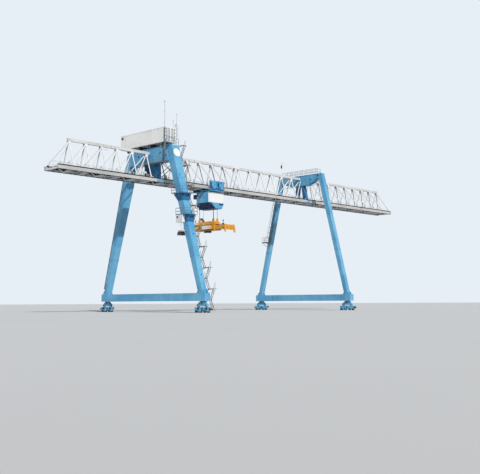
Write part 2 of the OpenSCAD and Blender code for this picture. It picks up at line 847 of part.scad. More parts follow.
// Handrails on the outer side of each lane, and across the landings' ends
module stair_handrails() {
    color(grey)
        translate([fixed_x, 0, 0])
            for (n = [0 : flights - 1]) {
                out = n % 2 == 0 ? -1 : 1;
                x = n % 2 == 0 ? stair_x - step_t - seat : stair_x + lane_pitch + stair_w + seat;
                flight_sheet(x) {
                    flight_strip(n, rail_top - 4, rail_top);
                    flight_strip(n, rail_top / 2 - 3, rail_top / 2);
                    for (t = [0.03, 0.5, 0.97])
                        translate([-level_y(n) - out * flight_run * t - 2, level_z(n) + rise * t - platform_t - seat - 8])
                            square([4, rail_top + platform_t + seat + 6]);
                }
            }
}

// Small cabins of the drives' controls beside the lower leg platform
module leg_cabins() {
    edge = platform_edge(lower_platform_z);
    color(white)
        translate([fixed_x, 0, 0]) {
            difference() {
                block([-platform_x + 2, -edge[0] - 78, lower_platform_z - 128],
                      [-platform_x + 62, -edge[0] - 4, lower_platform_z]);
                block([-platform_x + 1, -edge[0] - 64, lower_platform_z - 60],
                      [-platform_x + 5, -edge[0] - 18, lower_platform_z - 20]);
            }
            block([stair_x - lane_gap - 66, -edge[1] + 8, lower_platform_z + platform_t],
                  [stair_x - lane_gap - 8, -edge[1] + 66, lower_platform_z + platform_t + 112]);
        }
}

mast_d = 10;
mast_reach = 12;
mast_h = 500;
mast_top = 470;
lamp_h = 16;
pole_h = 320;

// Lamp masts on the crossbeams
module light_masts() {
    x = -room_w / 2 - mast_d / 2 - 4;
    low = fixed_beam_top - fixed_beam_h + 60;
    color(dark) {
        translate([fixed_x, -fixed_inner(fixed_beam_top) - 2 * mast_reach, low]) {
            for (s = [-1, 1])
                translate([x, s * mast_reach, 0]) cylinder(d = mast_d, h = mast_h, $fn = 24);
            for (z = [mast_h - 20, mast_h / 2])
                translate([x, 0, z]) centred([4, 2 * mast_reach, 4], 0);
            for (z = [30, 130])
                block([x, -mast_reach, z], [-fixed_beam_w / 2 - seat, mast_reach, z + 10]);
            translate([x, 0, mast_h - 18]) cylinder(d = 5, h = mast_top, $fn = 16);
            translate([x, 0, mast_h - 18 + mast_top]) centred([12, 12, lamp_h], 0);
        }
        translate([pendulum_x, pendulum_top_y, pendulum_beam_top]) {
            cylinder(d = 6, h = pole_h, $fn = 16);
            centred([12, 12, lamp_h], pole_h);
        }
    }
}

// Caged ladder on the far pendulum leg's face towards the shorter cantilever
module leg_ladder() {
    top = pendulum_beam_top - 420;
    turn = atan2(pendulum_foot_y - pendulum_top_y, pendulum_beam_top - sill_top);
    y = slope(top, sill_top, pendulum_foot_y, pendulum_beam_top, pendulum_top_y);
    x = -pendulum_leg_top_w / 2 - 16;
    n = floor(ladder_l / rung_pitch);
    color(grey)
        translate([pendulum_x, y, top])
            rotate([turn, 0, 0])
                translate([x, 0, -ladder_l]) {
                    for (s = [-1, 1])
                        translate([0, s * ladder_w / 2, 0])
                            centred([8, 3, ladder_l], 0);
                    for (i = [0 : n - 1])
                        translate([0, 0, (i + 0.5) * rung_pitch])
                            rotate([90, 0, 0]) cylinder(d = 3, h = ladder_w, center = true, $fn = 6);
                    for (i = [2 : 4 : n - 1])
                        translate([2 - cage_d / 2, 0, (i + 0.5) * rung_pitch])
                            difference() {
                                cylinder(d = cage_d, h = 4, $fn = 24);
                                translate([0, 0, -1]) cylinder(d = cage_d - 5, h = 6, $fn = 24);
                                translate([cage_d / 2 - 6, -cage_d, -1]) cube([cage_d, 2 * cage_d, 6]);
                            }
                    for (a = [-45, 0, 45])
                        translate([2 - cage_d / 2, 0, 2.5 * rung_pitch])
                            rotate([0, 0, a])
                                translate([1.25 - cage_d / 2, 0, 0])
                                    centred([2.5, 4, ladder_l - 4 * rung_pitch], 0);
                    for (i = [1 : 6 : n - 1])
                        ladder_foot(x, (i + 0.5) * rung_pitch, top - (ladder_l - (i + 0.5) * rung_pitch) * cos(turn));
                }
}

// Foot between the ladder and the leg's face at height z above the ground
module ladder_foot(x, up, z) {
    face = slope(z, sill_top, pendulum_leg_foot_w, pendulum_beam_top, pendulum_leg_top_w) / 2;
    block([3, -ladder_w / 2 - 1.5, up], [-face - seat - 0.1 - x, ladder_w / 2 + 1.5, up + 4]);
}

// Side frame with two wheel boxes that stand beside the chord
module trolley_side_frames() {
    box_l = (trolley_l - box_gap) / 2;
    box_x = (box_gap + box_l) / 2;
    box_z = chord_top - box_low;
    color(blue)
        for (side = [-1, 1])
            translate([trolley_x, side * (side_y + side_t / 2), 0])
                rotate([90, 0, 0])
                    linear_extrude(height = side_t, center = true)
                        difference() {
                            union() {
                                translate([-trolley_l / 2, deck_bottom])
                                    square([trolley_l, box_z - deck_bottom]);
                                for (s = [-1, 1])
                                    translate([s * box_x - box_l / 2, box_z - 1])
                                        square([box_l, box_low + side_up + 1]);
                            }
                            for (s = [-1, 1], t = [-1, 1])
                                translate([s * box_x + t * box_l * 0.3, chord_top - box_low / 2])
                                    circle(d = 18, $fn = 24);
                            for (s = [-1, 1])
                                translate([s * box_x, chord_top + side_up - 20]) circle(d = 14, $fn = 24);
                        }
}

module trolley_deck() {
    color(blue)
        translate([trolley_x, 0, deck_bottom])
            difference() {
                centred([trolley_l, 2 * side_y, deck_h], 0);
                translate([0, 0, -1]) cylinder(r = ring_r - 30, h = deck_h + 2, $fn = 96);
            }
}

module trolley_wheels() {
    color(dark)
        for (side = [-1, 1], s = [-1, 1])
            translate([trolley_x + s * (trolley_l + box_gap) / 4, side * rail_y,
                       rail_top_z + trolley_wheel_d / 2 + seat])
                rotate([90, 0, 0]) {
                    cylinder(d = trolley_wheel_d, h = rail_w + 6, center = true, $fn = 48);
                    translate([0, 0, -side * (side_y - rail_y) / 2])
                        cylinder(d = 14, h = side_y - rail_y, center = true, $fn = 32);
                }
}

module slewing_ring_upper() {
    color(dark)
        translate([trolley_x, 0, deck_bottom - ring_h])
            difference() {
                cylinder(r = ring_r, h = ring_h, $fn = 96);
                translate([0, 0, -1]) cylinder(r = ring_r - 30, h = ring_h + 2, $fn = 96);
            }
}

module slewing_ring_lower() {
    color(dark)
        translate([trolley_x, 0, house_top])
            difference() {
                cylinder(r = ring_r - 6, h = ring_h, $fn = 96);
                translate([0, 0, -1]) cylinder(r = ring_r - 36, h = ring_h + 2, $fn = 96);
            }
}

// Outline of the machine house from above, chamfered at its rear
module house_plan() {
    rear = house_l / 2 - rear_l;
    polygon([[-house_w / 2, -house_l / 2], [house_w / 2, -house_l / 2], [house_w / 2, rear],
             [rear_w / 2, house_l / 2 - 8], [-rear_w / 2, house_l / 2 - 8], [-house_w / 2, rear]]);
}

// Walls and roof; the roof falls towards the rear
module machine_house() {
    rear = house_l / 2 - rear_l;
    color(blue)
        translate([trolley_x, 0, 0])
            intersection() {
                translate([0, 0, wall_bottom])
                    linear_extrude(height = house_h) house_plan();
                rotate([90, 0, 90])
                    linear_extrude(height = 2 * house_w, center = true)
                        polygon([[-house_l, wall_bottom], [house_l / 2, wall_bottom],
                                 [house_l / 2, house_top - roof_drop], [rear, house_top],
                                 [-house_l, house_top]]);
            }
}

// Trough under the walls, with guides where the ropes leave it
module machine_house_keel() {
    color(blue)
        translate([trolley_x, 0, 0])
            intersection() {
                translate([0, 0, keel_bottom])
                    linear_extrude(height = keel_h) house_plan();
                union() {
                    rotate([90, 0, 0])
                        linear_extrude(height = 2 * house_l, center = true)
                            polygon([[-house_w / 2, wall_bottom], [house_w / 2, wall_bottom],
                                     [keel_x + keel_w / 2, keel_bottom],
                                     [keel_x - keel_w / 2, keel_bottom]]);
                    for (y = [-1, 1])
                        translate([-rope_x, y * rope_y, 0])
                            centred([24, 20, keel_h], keel_bottom);
                }
            }
}

module front_panel() {
    color(white)
        translate([trolley_x, -house_l / 2 - panel_t / 2, 0])
            centred([house_w - 8, panel_t, house_h - 8], wall_bottom + 4);
}

// Cabinet that hangs behind the rear wall
module rear_cabinet() {
    top = house_top - 12;
    color(blue)
        translate([trolley_x - 20, house_l / 2 - 8 + cabinet_l / 2, 0])
            difference() {
                centred([cabinet_w, cabinet_l, cabinet_h], top - cabinet_h);
                for (i = [-2 : 2])
                    translate([i * 22, cabinet_l / 2, 0])
                        centred([10, 6, cabinet_h - 20], top - cabinet_h + 10);
            }
}

frame_low_z = spreader_z + frame_up;
head_z = frame_low_z + frame_h + head_gap;

module hoist_ropes() {
    top = keel_bottom - seat;
    low = head_z + head_h + sheave_up;
    color(dark)
        translate([trolley_x, 0, low])
            for (x = [-1, 1], y = [-1, 1])
                translate([x * rope_x, y * rope_y, 0]) cylinder(d = rope_d, h = top - low, $fn = 16);
}

// Lifting beam with its four sheave brackets, locked to the main frame by four stubs
module headblock() {
    color(yellow)
        translate([trolley_x, 0, head_z]) {
            centred([2 * rope_x + 44, 2 * rope_y + 76, head_h], 0);
            for (x = [-1, 1], y = [-1, 1])
                translate([x * rope_x, y * rope_y, 0]) {
                    rotate([90, 0, 90])
                        linear_extrude(height = 16, center = true)
                            polygon([[-24, head_h - 1], [24, head_h - 1], [9, head_h + sheave_up - seat],
                                     [-9, head_h + sheave_up - seat]]);
                    centred([20, 20, head_gap - seat + 1], -head_gap + seat);
                }
        }
}

tube_w = beam_w + 2 * slide_gap;
tube_h = beam_h + 2 * slide_gap;
lane = tube_w + frame_wall;
frame_w = 4 * lane + frame_wall;

module spreader_frame() {
    color(yellow)
        translate([trolley_x, 0, frame_low_z])
            rotate([90, 0, 0])
                linear_extrude(height = 2 * frame_l, center = true)
                    difference() {
                        translate([-frame_w / 2, 0]) square([frame_w, frame_h]);
                        for (i = [-1.5 : 1 : 1.5])
                            translate([i * lane - tube_w / 2, (frame_h - tube_h) / 2]) square([tube_w, tube_h]);
                    }
}

// Two telescopic beams with the end beam and its twistlocks
module spreader_arms(side, lanes) {
    end_t = 30;
    color(yellow)
        translate([trolley_x, 0, 0]) {
            for (i = lanes)
                translate([i * lane, side * (lock_y - end_t / 2 - beam_l / 2), 0])
                    centred([beam_w, beam_l, beam_h], frame_low_z + (frame_h - beam_h) / 2);
            translate([0, side * lock_y, 0])
                centred([2 * lock_x + 18, end_t, beam_h + 24], frame_low_z - 10);
            for (x = [-1, 1])
                translate([x * lock_x, side * lock_y, spreader_z]) {
                    cylinder(d = 10, h = frame_low_z - 10 - spreader_z, $fn = 24);
                    cylinder(d = 16, h = 12, $fn = 24);
                }
            for (x = [-1, 1])
                translate([x * (lock_x + 9), side * (lock_y + end_t / 2 + 1.5), frame_low_z])
                    rotate([side * 8, 0, 0])
                        centred([30, 3, beam_h + flap_l], -10 - flap_l);
        }
}

module spreader_arms_near() {
    spreader_arms(-1, [-1.5, 0.5]);
}

module spreader_arms_far() {
    spreader_arms(1, [-0.5, 1.5]);
}

top_chord();
bottom_chords();
side_lattice_near();
side_lattice_far();
underside_lattice();
splice_plates();
trolley_rails();
walkway_deck();
walkway_handrails();
fixed_crossbeam();
fixed_leg_near();
fixed_leg_far();
hangers();
sills();
pendulum_crossbeam();
pendulum_leg_near();
pendulum_leg_far();
equalizer_beams();
bogie_frames();
crane_wheels();
buffers();
electrical_house();
house_supports();
platforms();
platform_handrails();
stair_landings();
stair_treads();
stair_stringers();
stair_handrails();
leg_cabins();
light_masts();
leg_ladder();
trolley_side_frames();
trolley_deck();
trolley_wheels();
slewing_ring_upper();
slewing_ring_lower();
machine_house();
machine_house_keel();
front_panel();
rear_cabinet();
hoist_ropes();
headblock();
spreader_frame();
spreader_arms_near();
spreader_arms_far();
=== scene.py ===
"""Looks of a container gantry crane, a 1:10 scale model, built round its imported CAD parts."""
import json
import logging
import math
from dataclasses import dataclass
from enum import Enum
from typing import Iterable, Sequence

import bpy
from mathutils import Matrix, Vector

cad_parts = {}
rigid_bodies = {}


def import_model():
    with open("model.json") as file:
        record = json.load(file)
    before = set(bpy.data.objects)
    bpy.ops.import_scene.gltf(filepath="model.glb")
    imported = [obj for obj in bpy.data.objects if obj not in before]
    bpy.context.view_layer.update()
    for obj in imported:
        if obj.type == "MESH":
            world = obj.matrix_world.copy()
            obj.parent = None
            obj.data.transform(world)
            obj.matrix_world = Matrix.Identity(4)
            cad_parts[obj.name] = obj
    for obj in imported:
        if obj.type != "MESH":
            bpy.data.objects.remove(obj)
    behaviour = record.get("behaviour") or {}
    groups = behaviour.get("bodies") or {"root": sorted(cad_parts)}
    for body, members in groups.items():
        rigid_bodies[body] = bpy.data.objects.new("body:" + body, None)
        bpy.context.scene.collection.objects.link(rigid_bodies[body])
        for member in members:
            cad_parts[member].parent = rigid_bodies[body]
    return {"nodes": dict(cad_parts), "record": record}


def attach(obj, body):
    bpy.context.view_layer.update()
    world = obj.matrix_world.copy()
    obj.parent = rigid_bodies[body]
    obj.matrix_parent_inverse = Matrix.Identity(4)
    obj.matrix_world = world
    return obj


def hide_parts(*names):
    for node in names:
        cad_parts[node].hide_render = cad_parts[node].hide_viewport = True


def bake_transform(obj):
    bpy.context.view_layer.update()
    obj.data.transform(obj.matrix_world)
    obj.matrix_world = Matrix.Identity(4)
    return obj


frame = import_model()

logging.basicConfig(level=logging.INFO, format="%(message)s")
LOG = logging.getLogger("gantry_crane")
Point = tuple[float, float, float]
Triple = Sequence[float]
Colour = tuple[float, float, float, float]


# Shader maths


class Signal:
    """A shader socket that takes part in Python expressions."""

    def __init__(self, graph: "Nodes", socket: bpy.types.NodeSocket) -> None:
        """Keeps the node tree and the socket.

        Args:
            graph: the node tree that the socket is in.
            socket: the output socket that carries the value.
        """
        self.graph = graph
        self.socket = socket

    def _math(self, operation: str, *values: "Signal | float") -> "Signal":
        """Adds a Math node and returns its output.

        Args:
            operation: the Math node's operation.
            values: its inputs, in order.

        Returns:
            The node's output.
        """
        node = self.graph.node("ShaderNodeMath", {"operation": operation}, dict(enumerate(values)))
        return Signal(self.graph, node.outputs[0])

    def __add__(self, other: "Signal | float") -> "Signal":
        """Adds a value."""
        return self._math("ADD", self, other)

    def __rsub__(self, other: float) -> "Signal":
        """Is subtracted from a number."""
        return self._math("SUBTRACT", other, self)

    def __mul__(self, other: "Signal | float") -> "Signal":
        """Multiplies by a value."""
        return self._math("MULTIPLY", self, other)

    __radd__ = __add__
    __rmul__ = __mul__

    def __or__(self, other: "Signal") -> "Signal":
        """Takes the larger of two values."""
        return self._math("MAXIMUM", self, other)

    def distance_to_line(self, pitch: float) -> "Signal":
        """Distance to the nearest of evenly spaced lines.

        Args:
            pitch: distance between two lines.

        Returns:
            The distance, in the value's own unit.
        """
        return self._math("PINGPONG", self, pitch / 2)

    def step(self, low: float, high: float) -> "Signal":
        """Rises smoothly from 0 to 1.

        Args:
            low: value at which the result is 0.
            high: value at which the result is 1.

        Returns:
            The smooth step.
        """
        node = self.graph.node("ShaderNodeMapRange", {"interpolation_type": "SMOOTHSTEP"},
                               {"Value": self, "From Min": low, "From Max": high})
        return Signal(self.graph, node.outputs["Result"])


class Nodes:
    """A node tree, emptied first."""

    def __init__(self, tree: bpy.types.NodeTree) -> None:
        """Keeps the tree and empties it.

        Args:
            tree: the tree of a material or a world.
        """
        self.tree = tree
        self.tree.nodes.clear()

    def node(self, kind: str, settings: dict[str, object] | None = None,
             inputs: dict[str | int, object] | None = None) -> bpy.types.Node:
        """Adds a node.

        Args:
            kind: the node's type.
            settings: its properties, which are set first.
            inputs: values or links by socket name or number.

        Returns:
            The node.
        """
        node = self.tree.nodes.new(kind)
        for key, value in (settings or {}).items():
            setattr(node, key, value)
        for key, value in (inputs or {}).items():
            if isinstance(value, Signal):
                self.tree.links.new(value.socket, node.inputs[key])
            elif isinstance(value, bpy.types.NodeSocket):
                self.tree.links.new(value, node.inputs[key])
            else:
                node.inputs[key].default_value = value
        return node


class Graph(Nodes):
    """The node tree of one material."""

    def __init__(self, name: str) -> None:
        """Makes the material.

        Args:
            name: the material's name.
        """
        self.material = bpy.data.materials.new(name)
        self.material.use_nodes = True
        super().__init__(self.material.node_tree)
        self.place = self.node("ShaderNodeTexCoord").outputs["Object"]

    def noise(self, scale: float, detail: float, stretch: Point = (1, 1, 1), seed: float = 0.0) -> Signal:
        """Adds a noise pattern in the object's own coordinates.

        Args:
            scale: how many patches a metre has.
            detail: octaves of finer noise.
            stretch: scale of each axis, to draw the patches out.
            seed: shift of the pattern along each axis.

        Returns:
            The noise, about 0.5 on average.
        """
        offset = (seed, seed * 1.7, seed * 0.6)
        shifted = self.node("ShaderNodeMapping", {"vector_type": "POINT"},
                            {"Vector": self.place, "Location": offset, "Scale": stretch})
        inputs = {"Vector": shifted.outputs[0], "Scale": scale, "Detail": detail}
        return Signal(self, self.node("ShaderNodeTexNoise", None, inputs).outputs["Fac"])

    def axis(self, name: str) -> Signal:
        """Coordinate along one axis of the object.

        Args:
            name: X, Y or Z.

        Returns:
            The coordinate in metres.
        """
        split = self.node("ShaderNodeSeparateXYZ", None, {0: self.place})
        return Signal(self, split.outputs[name])

    def mix(self, factor: Signal | float, first: object, second: object) -> bpy.types.NodeSocket:
        """Mixes two colours.

        Args:
            factor: share of the second colour.
            first: colour or socket.
            second: colour or socket.

        Returns:
            The mixed colour's socket.
        """
        node = self.node("ShaderNodeMix", {"data_type": "RGBA"}, {0: factor, 6: first, 7: second})
        return node.outputs[2]

    def finish(self, inputs: dict[str, object], bump: Signal | None = None,
               depth: float = 0.0) -> bpy.types.Material:
        """Adds the shader and the output.

        Args:
            inputs: the shader's inputs by name.
            bump: height of the surface's relief.
            depth: depth of the relief in metres.

        Returns:
            The finished material.
        """
        if bump is not None:
            relief = self.node("ShaderNodeBump", None, {"Strength": 0.6, "Distance": depth, "Height": bump})
            inputs = {**inputs, "Normal": relief.outputs[0]}
        shader = self.node("ShaderNodeBsdfPrincipled", None, inputs)
        self.node("ShaderNodeOutputMaterial", None, {"Surface": shader.outputs[0]})
        return self.material


def rgb(red: int, green: int, blue: int) -> Colour:
    """Turns a display colour of 0 to 255 into a shader colour.

    Args:
        red: red part.
        green: green part.
        blue: blue part.

    Returns:
        The linear colour with full alpha.
    """

    def linear(part: int) -> float:
        """Linear value of one part."""
        share = part / 255
        return share / 12.92 if share <= 0.04045 else ((share + 0.055) / 1.055) ** 2.4

    return (linear(red), linear(green), linear(blue), 1.0)


# Finishes


class Seams(Enum):
    """Axis across which a painted box's plate joints run."""

    NONE = ""
    ALONG_GIRDER = "X"
    ACROSS_GIRDER = "Y"
    UPRIGHT = "Z"


@dataclass(frozen=True)
class Paint:
    """Weathered paint on welded plate."""

    name: str
    colour: Colour
    faded: Colour
    grime: Colour
    roughness: float = 0.42
    grime_share: float = 0.35
    rust_share: float = 0.25
    seams: Seams = Seams.NONE
    seam_pitch: float = 0.3
    coat: float = 0.15
    gloss: float = 0.5

    def make(self) -> bpy.types.Material:
        """Builds the material: sun-faded patches, rain streaks, rust specks and plate joints.

        Returns:
            The material.
        """
        g = Graph(self.name)
        patches = g.noise(2.3, 4)
        streaks = g.noise(26, 3, (1, 1, 0.06), 3.1).step(0.52, 0.74)
        wet = g.noise(3.1, 2, seed=7.7).step(0.42, 0.66)
        specks = g.noise(70, 3, seed=1.3).step(0.69, 0.75) * g.noise(5, 2, seed=5.0).step(0.5, 0.62)
        grain = g.noise(240, 2, seed=2.0)
        colour = g.mix(patches.step(0.38, 0.66), self.colour, self.faded)
        colour = g.mix(streaks * wet * self.grime_share, colour, self.grime)
        colour = g.mix(specks * self.rust_share, colour, rgb(112, 66, 40))
        height = grain * 0.12 + patches * 0.5
        if self.seams is not Seams.NONE:
            weld = 1 - g.axis(self.seams.value).distance_to_line(self.seam_pitch).step(0.0009, 0.0026)
            colour = g.mix(weld * 0.42, colour, self.grime)
            height = height + weld * 0.9
        rough = patches * 0.14 + streaks * 0.1 + (self.roughness - 0.08)
        inputs = {"Base Color": colour, "Roughness": rough}
        inputs.update({"Coat Weight": self.coat, "Specular IOR Level": self.gloss})
        return g.finish(inputs, height, 0.0012)


@dataclass(frozen=True)
class Metal:
    """Bare or galvanised metal."""

    name: str
    colour: Colour
    dark: Colour
    metallic: float
    roughness: float

    def make(self) -> bpy.types.Material:
        """Builds the material: fine grain, darker patches and a rough skin.

        Returns:
            The material.
        """
        g = Graph(self.name)
        grain = g.noise(160, 3)
        patches = g.noise(14, 4, seed=4.0).step(0.36, 0.68)
        colour = g.mix(patches * 0.7 + grain * 0.25, self.colour, self.dark)
        rough = grain * 0.18 + patches * 0.12 + (self.roughness - 0.1)
        return g.finish({"Base Color": colour, "Roughness": rough, "Metallic": self.metallic}, grain, 0.0006)


@dataclass(frozen=True)
class Rubber:
    """Black rubber or cable sheath."""

    name: str
    colour: Colour
    roughness: float = 0.7

    def make(self) -> bpy.types.Material:
        """Builds the material: dusty patches on a matt skin.

        Returns:
            The material.
        """
        g = Graph(self.name)
        dust = g.noise(30, 4).step(0.45, 0.75)
        colour = g.mix(dust * 0.35, self.colour, rgb(96, 92, 86))
        rough = dust * 0.15 + self.roughness
        return g.finish({"Base Color": colour, "Roughness": rough}, g.noise(320, 2), 0.0004)


@dataclass(frozen=True)
class Pane:
    """Window or lamp glass."""

    name: str
    colour: Colour
    roughness: float = 0.08

    def make(self) -> bpy.types.Material:
        """Builds the material: a dusty, glossy pane.

        Returns:
            The material.
        """
        g = Graph(self.name)
        dust = g.noise(18, 4).step(0.4, 0.8)
        colour = g.mix(dust * 0.3, self.colour, rgb(150, 158, 160))
        return g.finish({"Base Color": colour, "Roughness": dust * 0.2 + self.roughness, "Coat Weight": 0.6})


BLUE, BLUE_FADED, BLUE_GRIME = rgb(80, 156, 200), rgb(108, 176, 212), rgb(40, 72, 96)


class Finish(Enum):
    """The finishes; those of the record's material slots have the slots' names."""

    BLUE_PAINT = Paint("light_blue_paint", BLUE, BLUE_FADED, BLUE_GRIME)
    BLUE_LEG = Paint("light_blue_leg_paint", BLUE, BLUE_FADED, BLUE_GRIME, seams=Seams.UPRIGHT,
                     seam_pitch=0.36)
    BLUE_BEAM = Paint("light_blue_beam_paint", BLUE, BLUE_FADED, BLUE_GRIME, seams=Seams.ACROSS_GIRDER,
                      seam_pitch=0.26)
    GREY_PAINT = Paint("light_grey_paint", rgb(212, 216, 220), rgb(226, 228, 230), rgb(92, 92, 88),
                       grime_share=0.4, rust_share=0.35)
    GREY_CHORD = Paint("light_grey_chord_paint", rgb(174, 176, 176), rgb(194, 194, 192), rgb(78, 74, 70),
                       grime_share=0.55, rust_share=0.5, seams=Seams.ALONG_GIRDER, seam_pitch=0.954)
    PALE_CHORD = Paint("pale_grey_chord_paint", rgb(196, 198, 198), rgb(212, 213, 212), rgb(84, 80, 76),
                       grime_share=0.45, rust_share=0.4, seams=Seams.ALONG_GIRDER, seam_pitch=0.954)
    HOUSE_PAINT = Paint("bright_blue_house_paint", rgb(84, 172, 222), rgb(110, 186, 226), BLUE_GRIME)
    DOOR_PAINT = Paint("dull_white_door_paint", rgb(186, 192, 196), rgb(202, 206, 208), rgb(110, 104, 94),
                       grime_share=0.5, rust_share=0.4)
    WHITE_PAINT = Paint("off_white_paint", rgb(230, 232, 232), rgb(238, 239, 238), rgb(120, 112, 100),
                        grime_share=0.4, rust_share=0.35)
    YELLOW_PAINT = Paint("orange_yellow_paint", rgb(218, 152, 40), rgb(232, 182, 78), rgb(72, 46, 28),
                         grime_share=0.85, rust_share=0.7, roughness=0.5)
    ZINC_STEEL = Metal("galvanised_steel", rgb(132, 137, 140), rgb(94, 98, 100), 0.55, 0.5)
    DARK_STEEL = Metal("worn_dark_steel", rgb(84, 84, 86), rgb(46, 42, 40), 0.8, 0.48)
    WHEEL_IRON = Metal("rolled_wheel_iron", rgb(92, 90, 88), rgb(48, 44, 42), 0.85, 0.42)
    ROPE_STEEL = Metal("greased_rope", rgb(70, 70, 72), rgb(30, 30, 32), 0.7, 0.5)
    BUFFER_RUBBER = Rubber("buffer_rubber_skin", rgb(34, 34, 36))
    CABLE_SHEATH = Rubber("black_cable_sheath", rgb(26, 26, 28), 0.55)
    LAMP_GLASS = Pane("lamp_glass", rgb(226, 228, 220), 0.15)
    DARK_GLASS = Pane("dark_window_glass", rgb(28, 38, 48))
    RED_LAMP = Pane("red_lamp_glass", rgb(176, 34, 26), 0.2)
    # Dark blue painted shade, for parts that lie in the girder's shadow: the keel, the rear of the house and
    # the trolley's frame ends.
    NAVY_PAINT = Paint("painted_shade_dark_blue_paint", rgb(14, 54, 96), rgb(20, 66, 110), rgb(10, 26, 42),
                       coat=0.0, gloss=0.25)
    # Mid blue painted shade, for the shadowed hangers and the shadow under the near leg's platforms.
    SHADE_PAINT = Paint("painted_shade_mid_blue_paint", rgb(44, 108, 158), rgb(54, 120, 170), rgb(24, 54, 80),
                        coat=0.0, gloss=0.3)
    # Near-black painted shade, for the girder's shadowed underside: the walkway deck, the plates beside it,
    # the strips under the chords and the channels on them.
    BLACK_FLOOR = Paint("painted_shade_black_floor_paint", rgb(20, 20, 22), rgb(30, 30, 32), rgb(12, 12, 12), roughness=0.9,
                        rust_share=0.1, coat=0.0, gloss=0.05)
    BLACK_PAINT = Paint("black_paint", rgb(34, 36, 40), rgb(50, 52, 56), rgb(20, 20, 20), rust_share=0.1)

    def slot(self) -> str:
        """Returns the record's material slot that a piece of this finish takes."""
        return SLOT_OF.get(self, self).name.lower()


BLUE_FINISHES = (Finish.BLUE_LEG, Finish.BLUE_BEAM, Finish.HOUSE_PAINT, Finish.NAVY_PAINT, Finish.SHADE_PAINT)
DARK_FINISHES = (Finish.BLACK_FLOOR, Finish.BLACK_PAINT, Finish.DARK_GLASS, Finish.RED_LAMP)
SLOT_OF = {
    **dict.fromkeys(BLUE_FINISHES, Finish.BLUE_PAINT),
    **dict.fromkeys(DARK_FINISHES, Finish.DARK_STEEL),
    Finish.DOOR_PAINT: Finish.WHITE_PAINT,
    Finish.LAMP_GLASS: Finish.WHITE_PAINT,
    Finish.CABLE_SHEATH: Finish.BUFFER_RUBBER,
}
NODE_FINISH = {
    **dict.fromkeys(("fixed_leg_near", "fixed_leg_far"), Finish.BLUE_LEG),
    **dict.fromkeys(("pendulum_leg_near", "pendulum_leg_far"), Finish.BLUE_LEG),
    **dict.fromkeys(("fixed_crossbeam", "pendulum_crossbeam", "sills"), Finish.BLUE_BEAM),
    # The keel and the rear cabinet are dark blue as painted shade, for the girder's shadow.
    **dict.fromkeys(("machine_house_keel", "rear_cabinet"), Finish.NAVY_PAINT),
    "bottom_chords": Finish.GREY_CHORD,
    "top_chord": Finish.PALE_CHORD,
    # The hangers are mid blue as painted shade, for the shadow under the crossbeam.
    "hangers": Finish.SHADE_PAINT,
    "machine_house": Finish.HOUSE_PAINT,
    # The walkway deck is near black as painted shade of the girder's underside.
    "walkway_deck": Finish.BLACK_FLOOR,
    "front_panel": Finish.WHITE_PAINT,
}


class Paints:
    """The materials, each made once, when it is first used."""

    made: dict[Finish, bpy.types.Material] = {}

    @classmethod
    def get(cls, finish: Finish) -> bpy.types.Material:
        """Returns a finish's material.

        Args:
            finish: the finish.

        Returns:
            The material.
        """
        if finish not in cls.made:
            cls.made[finish] = finish.value.make()
        return cls.made[finish]


# Modelling


class Body(Enum):
    """The frame's bodies, which the pieces ride on."""

    GANTRY = "gantry"
    TROLLEY = "trolley"
    PLATFORM = "slewing_platform"
    SPREADER = "spreader"
    ARM_NEAR = "arm_near"
    ARM_FAR = "arm_far"


def deselect() -> None:
    """Leaves edit mode and deselects everything."""
    if bpy.context.mode != "OBJECT":
        bpy.ops.object.mode_set(mode="OBJECT")
    bpy.ops.object.select_all(action="DESELECT")


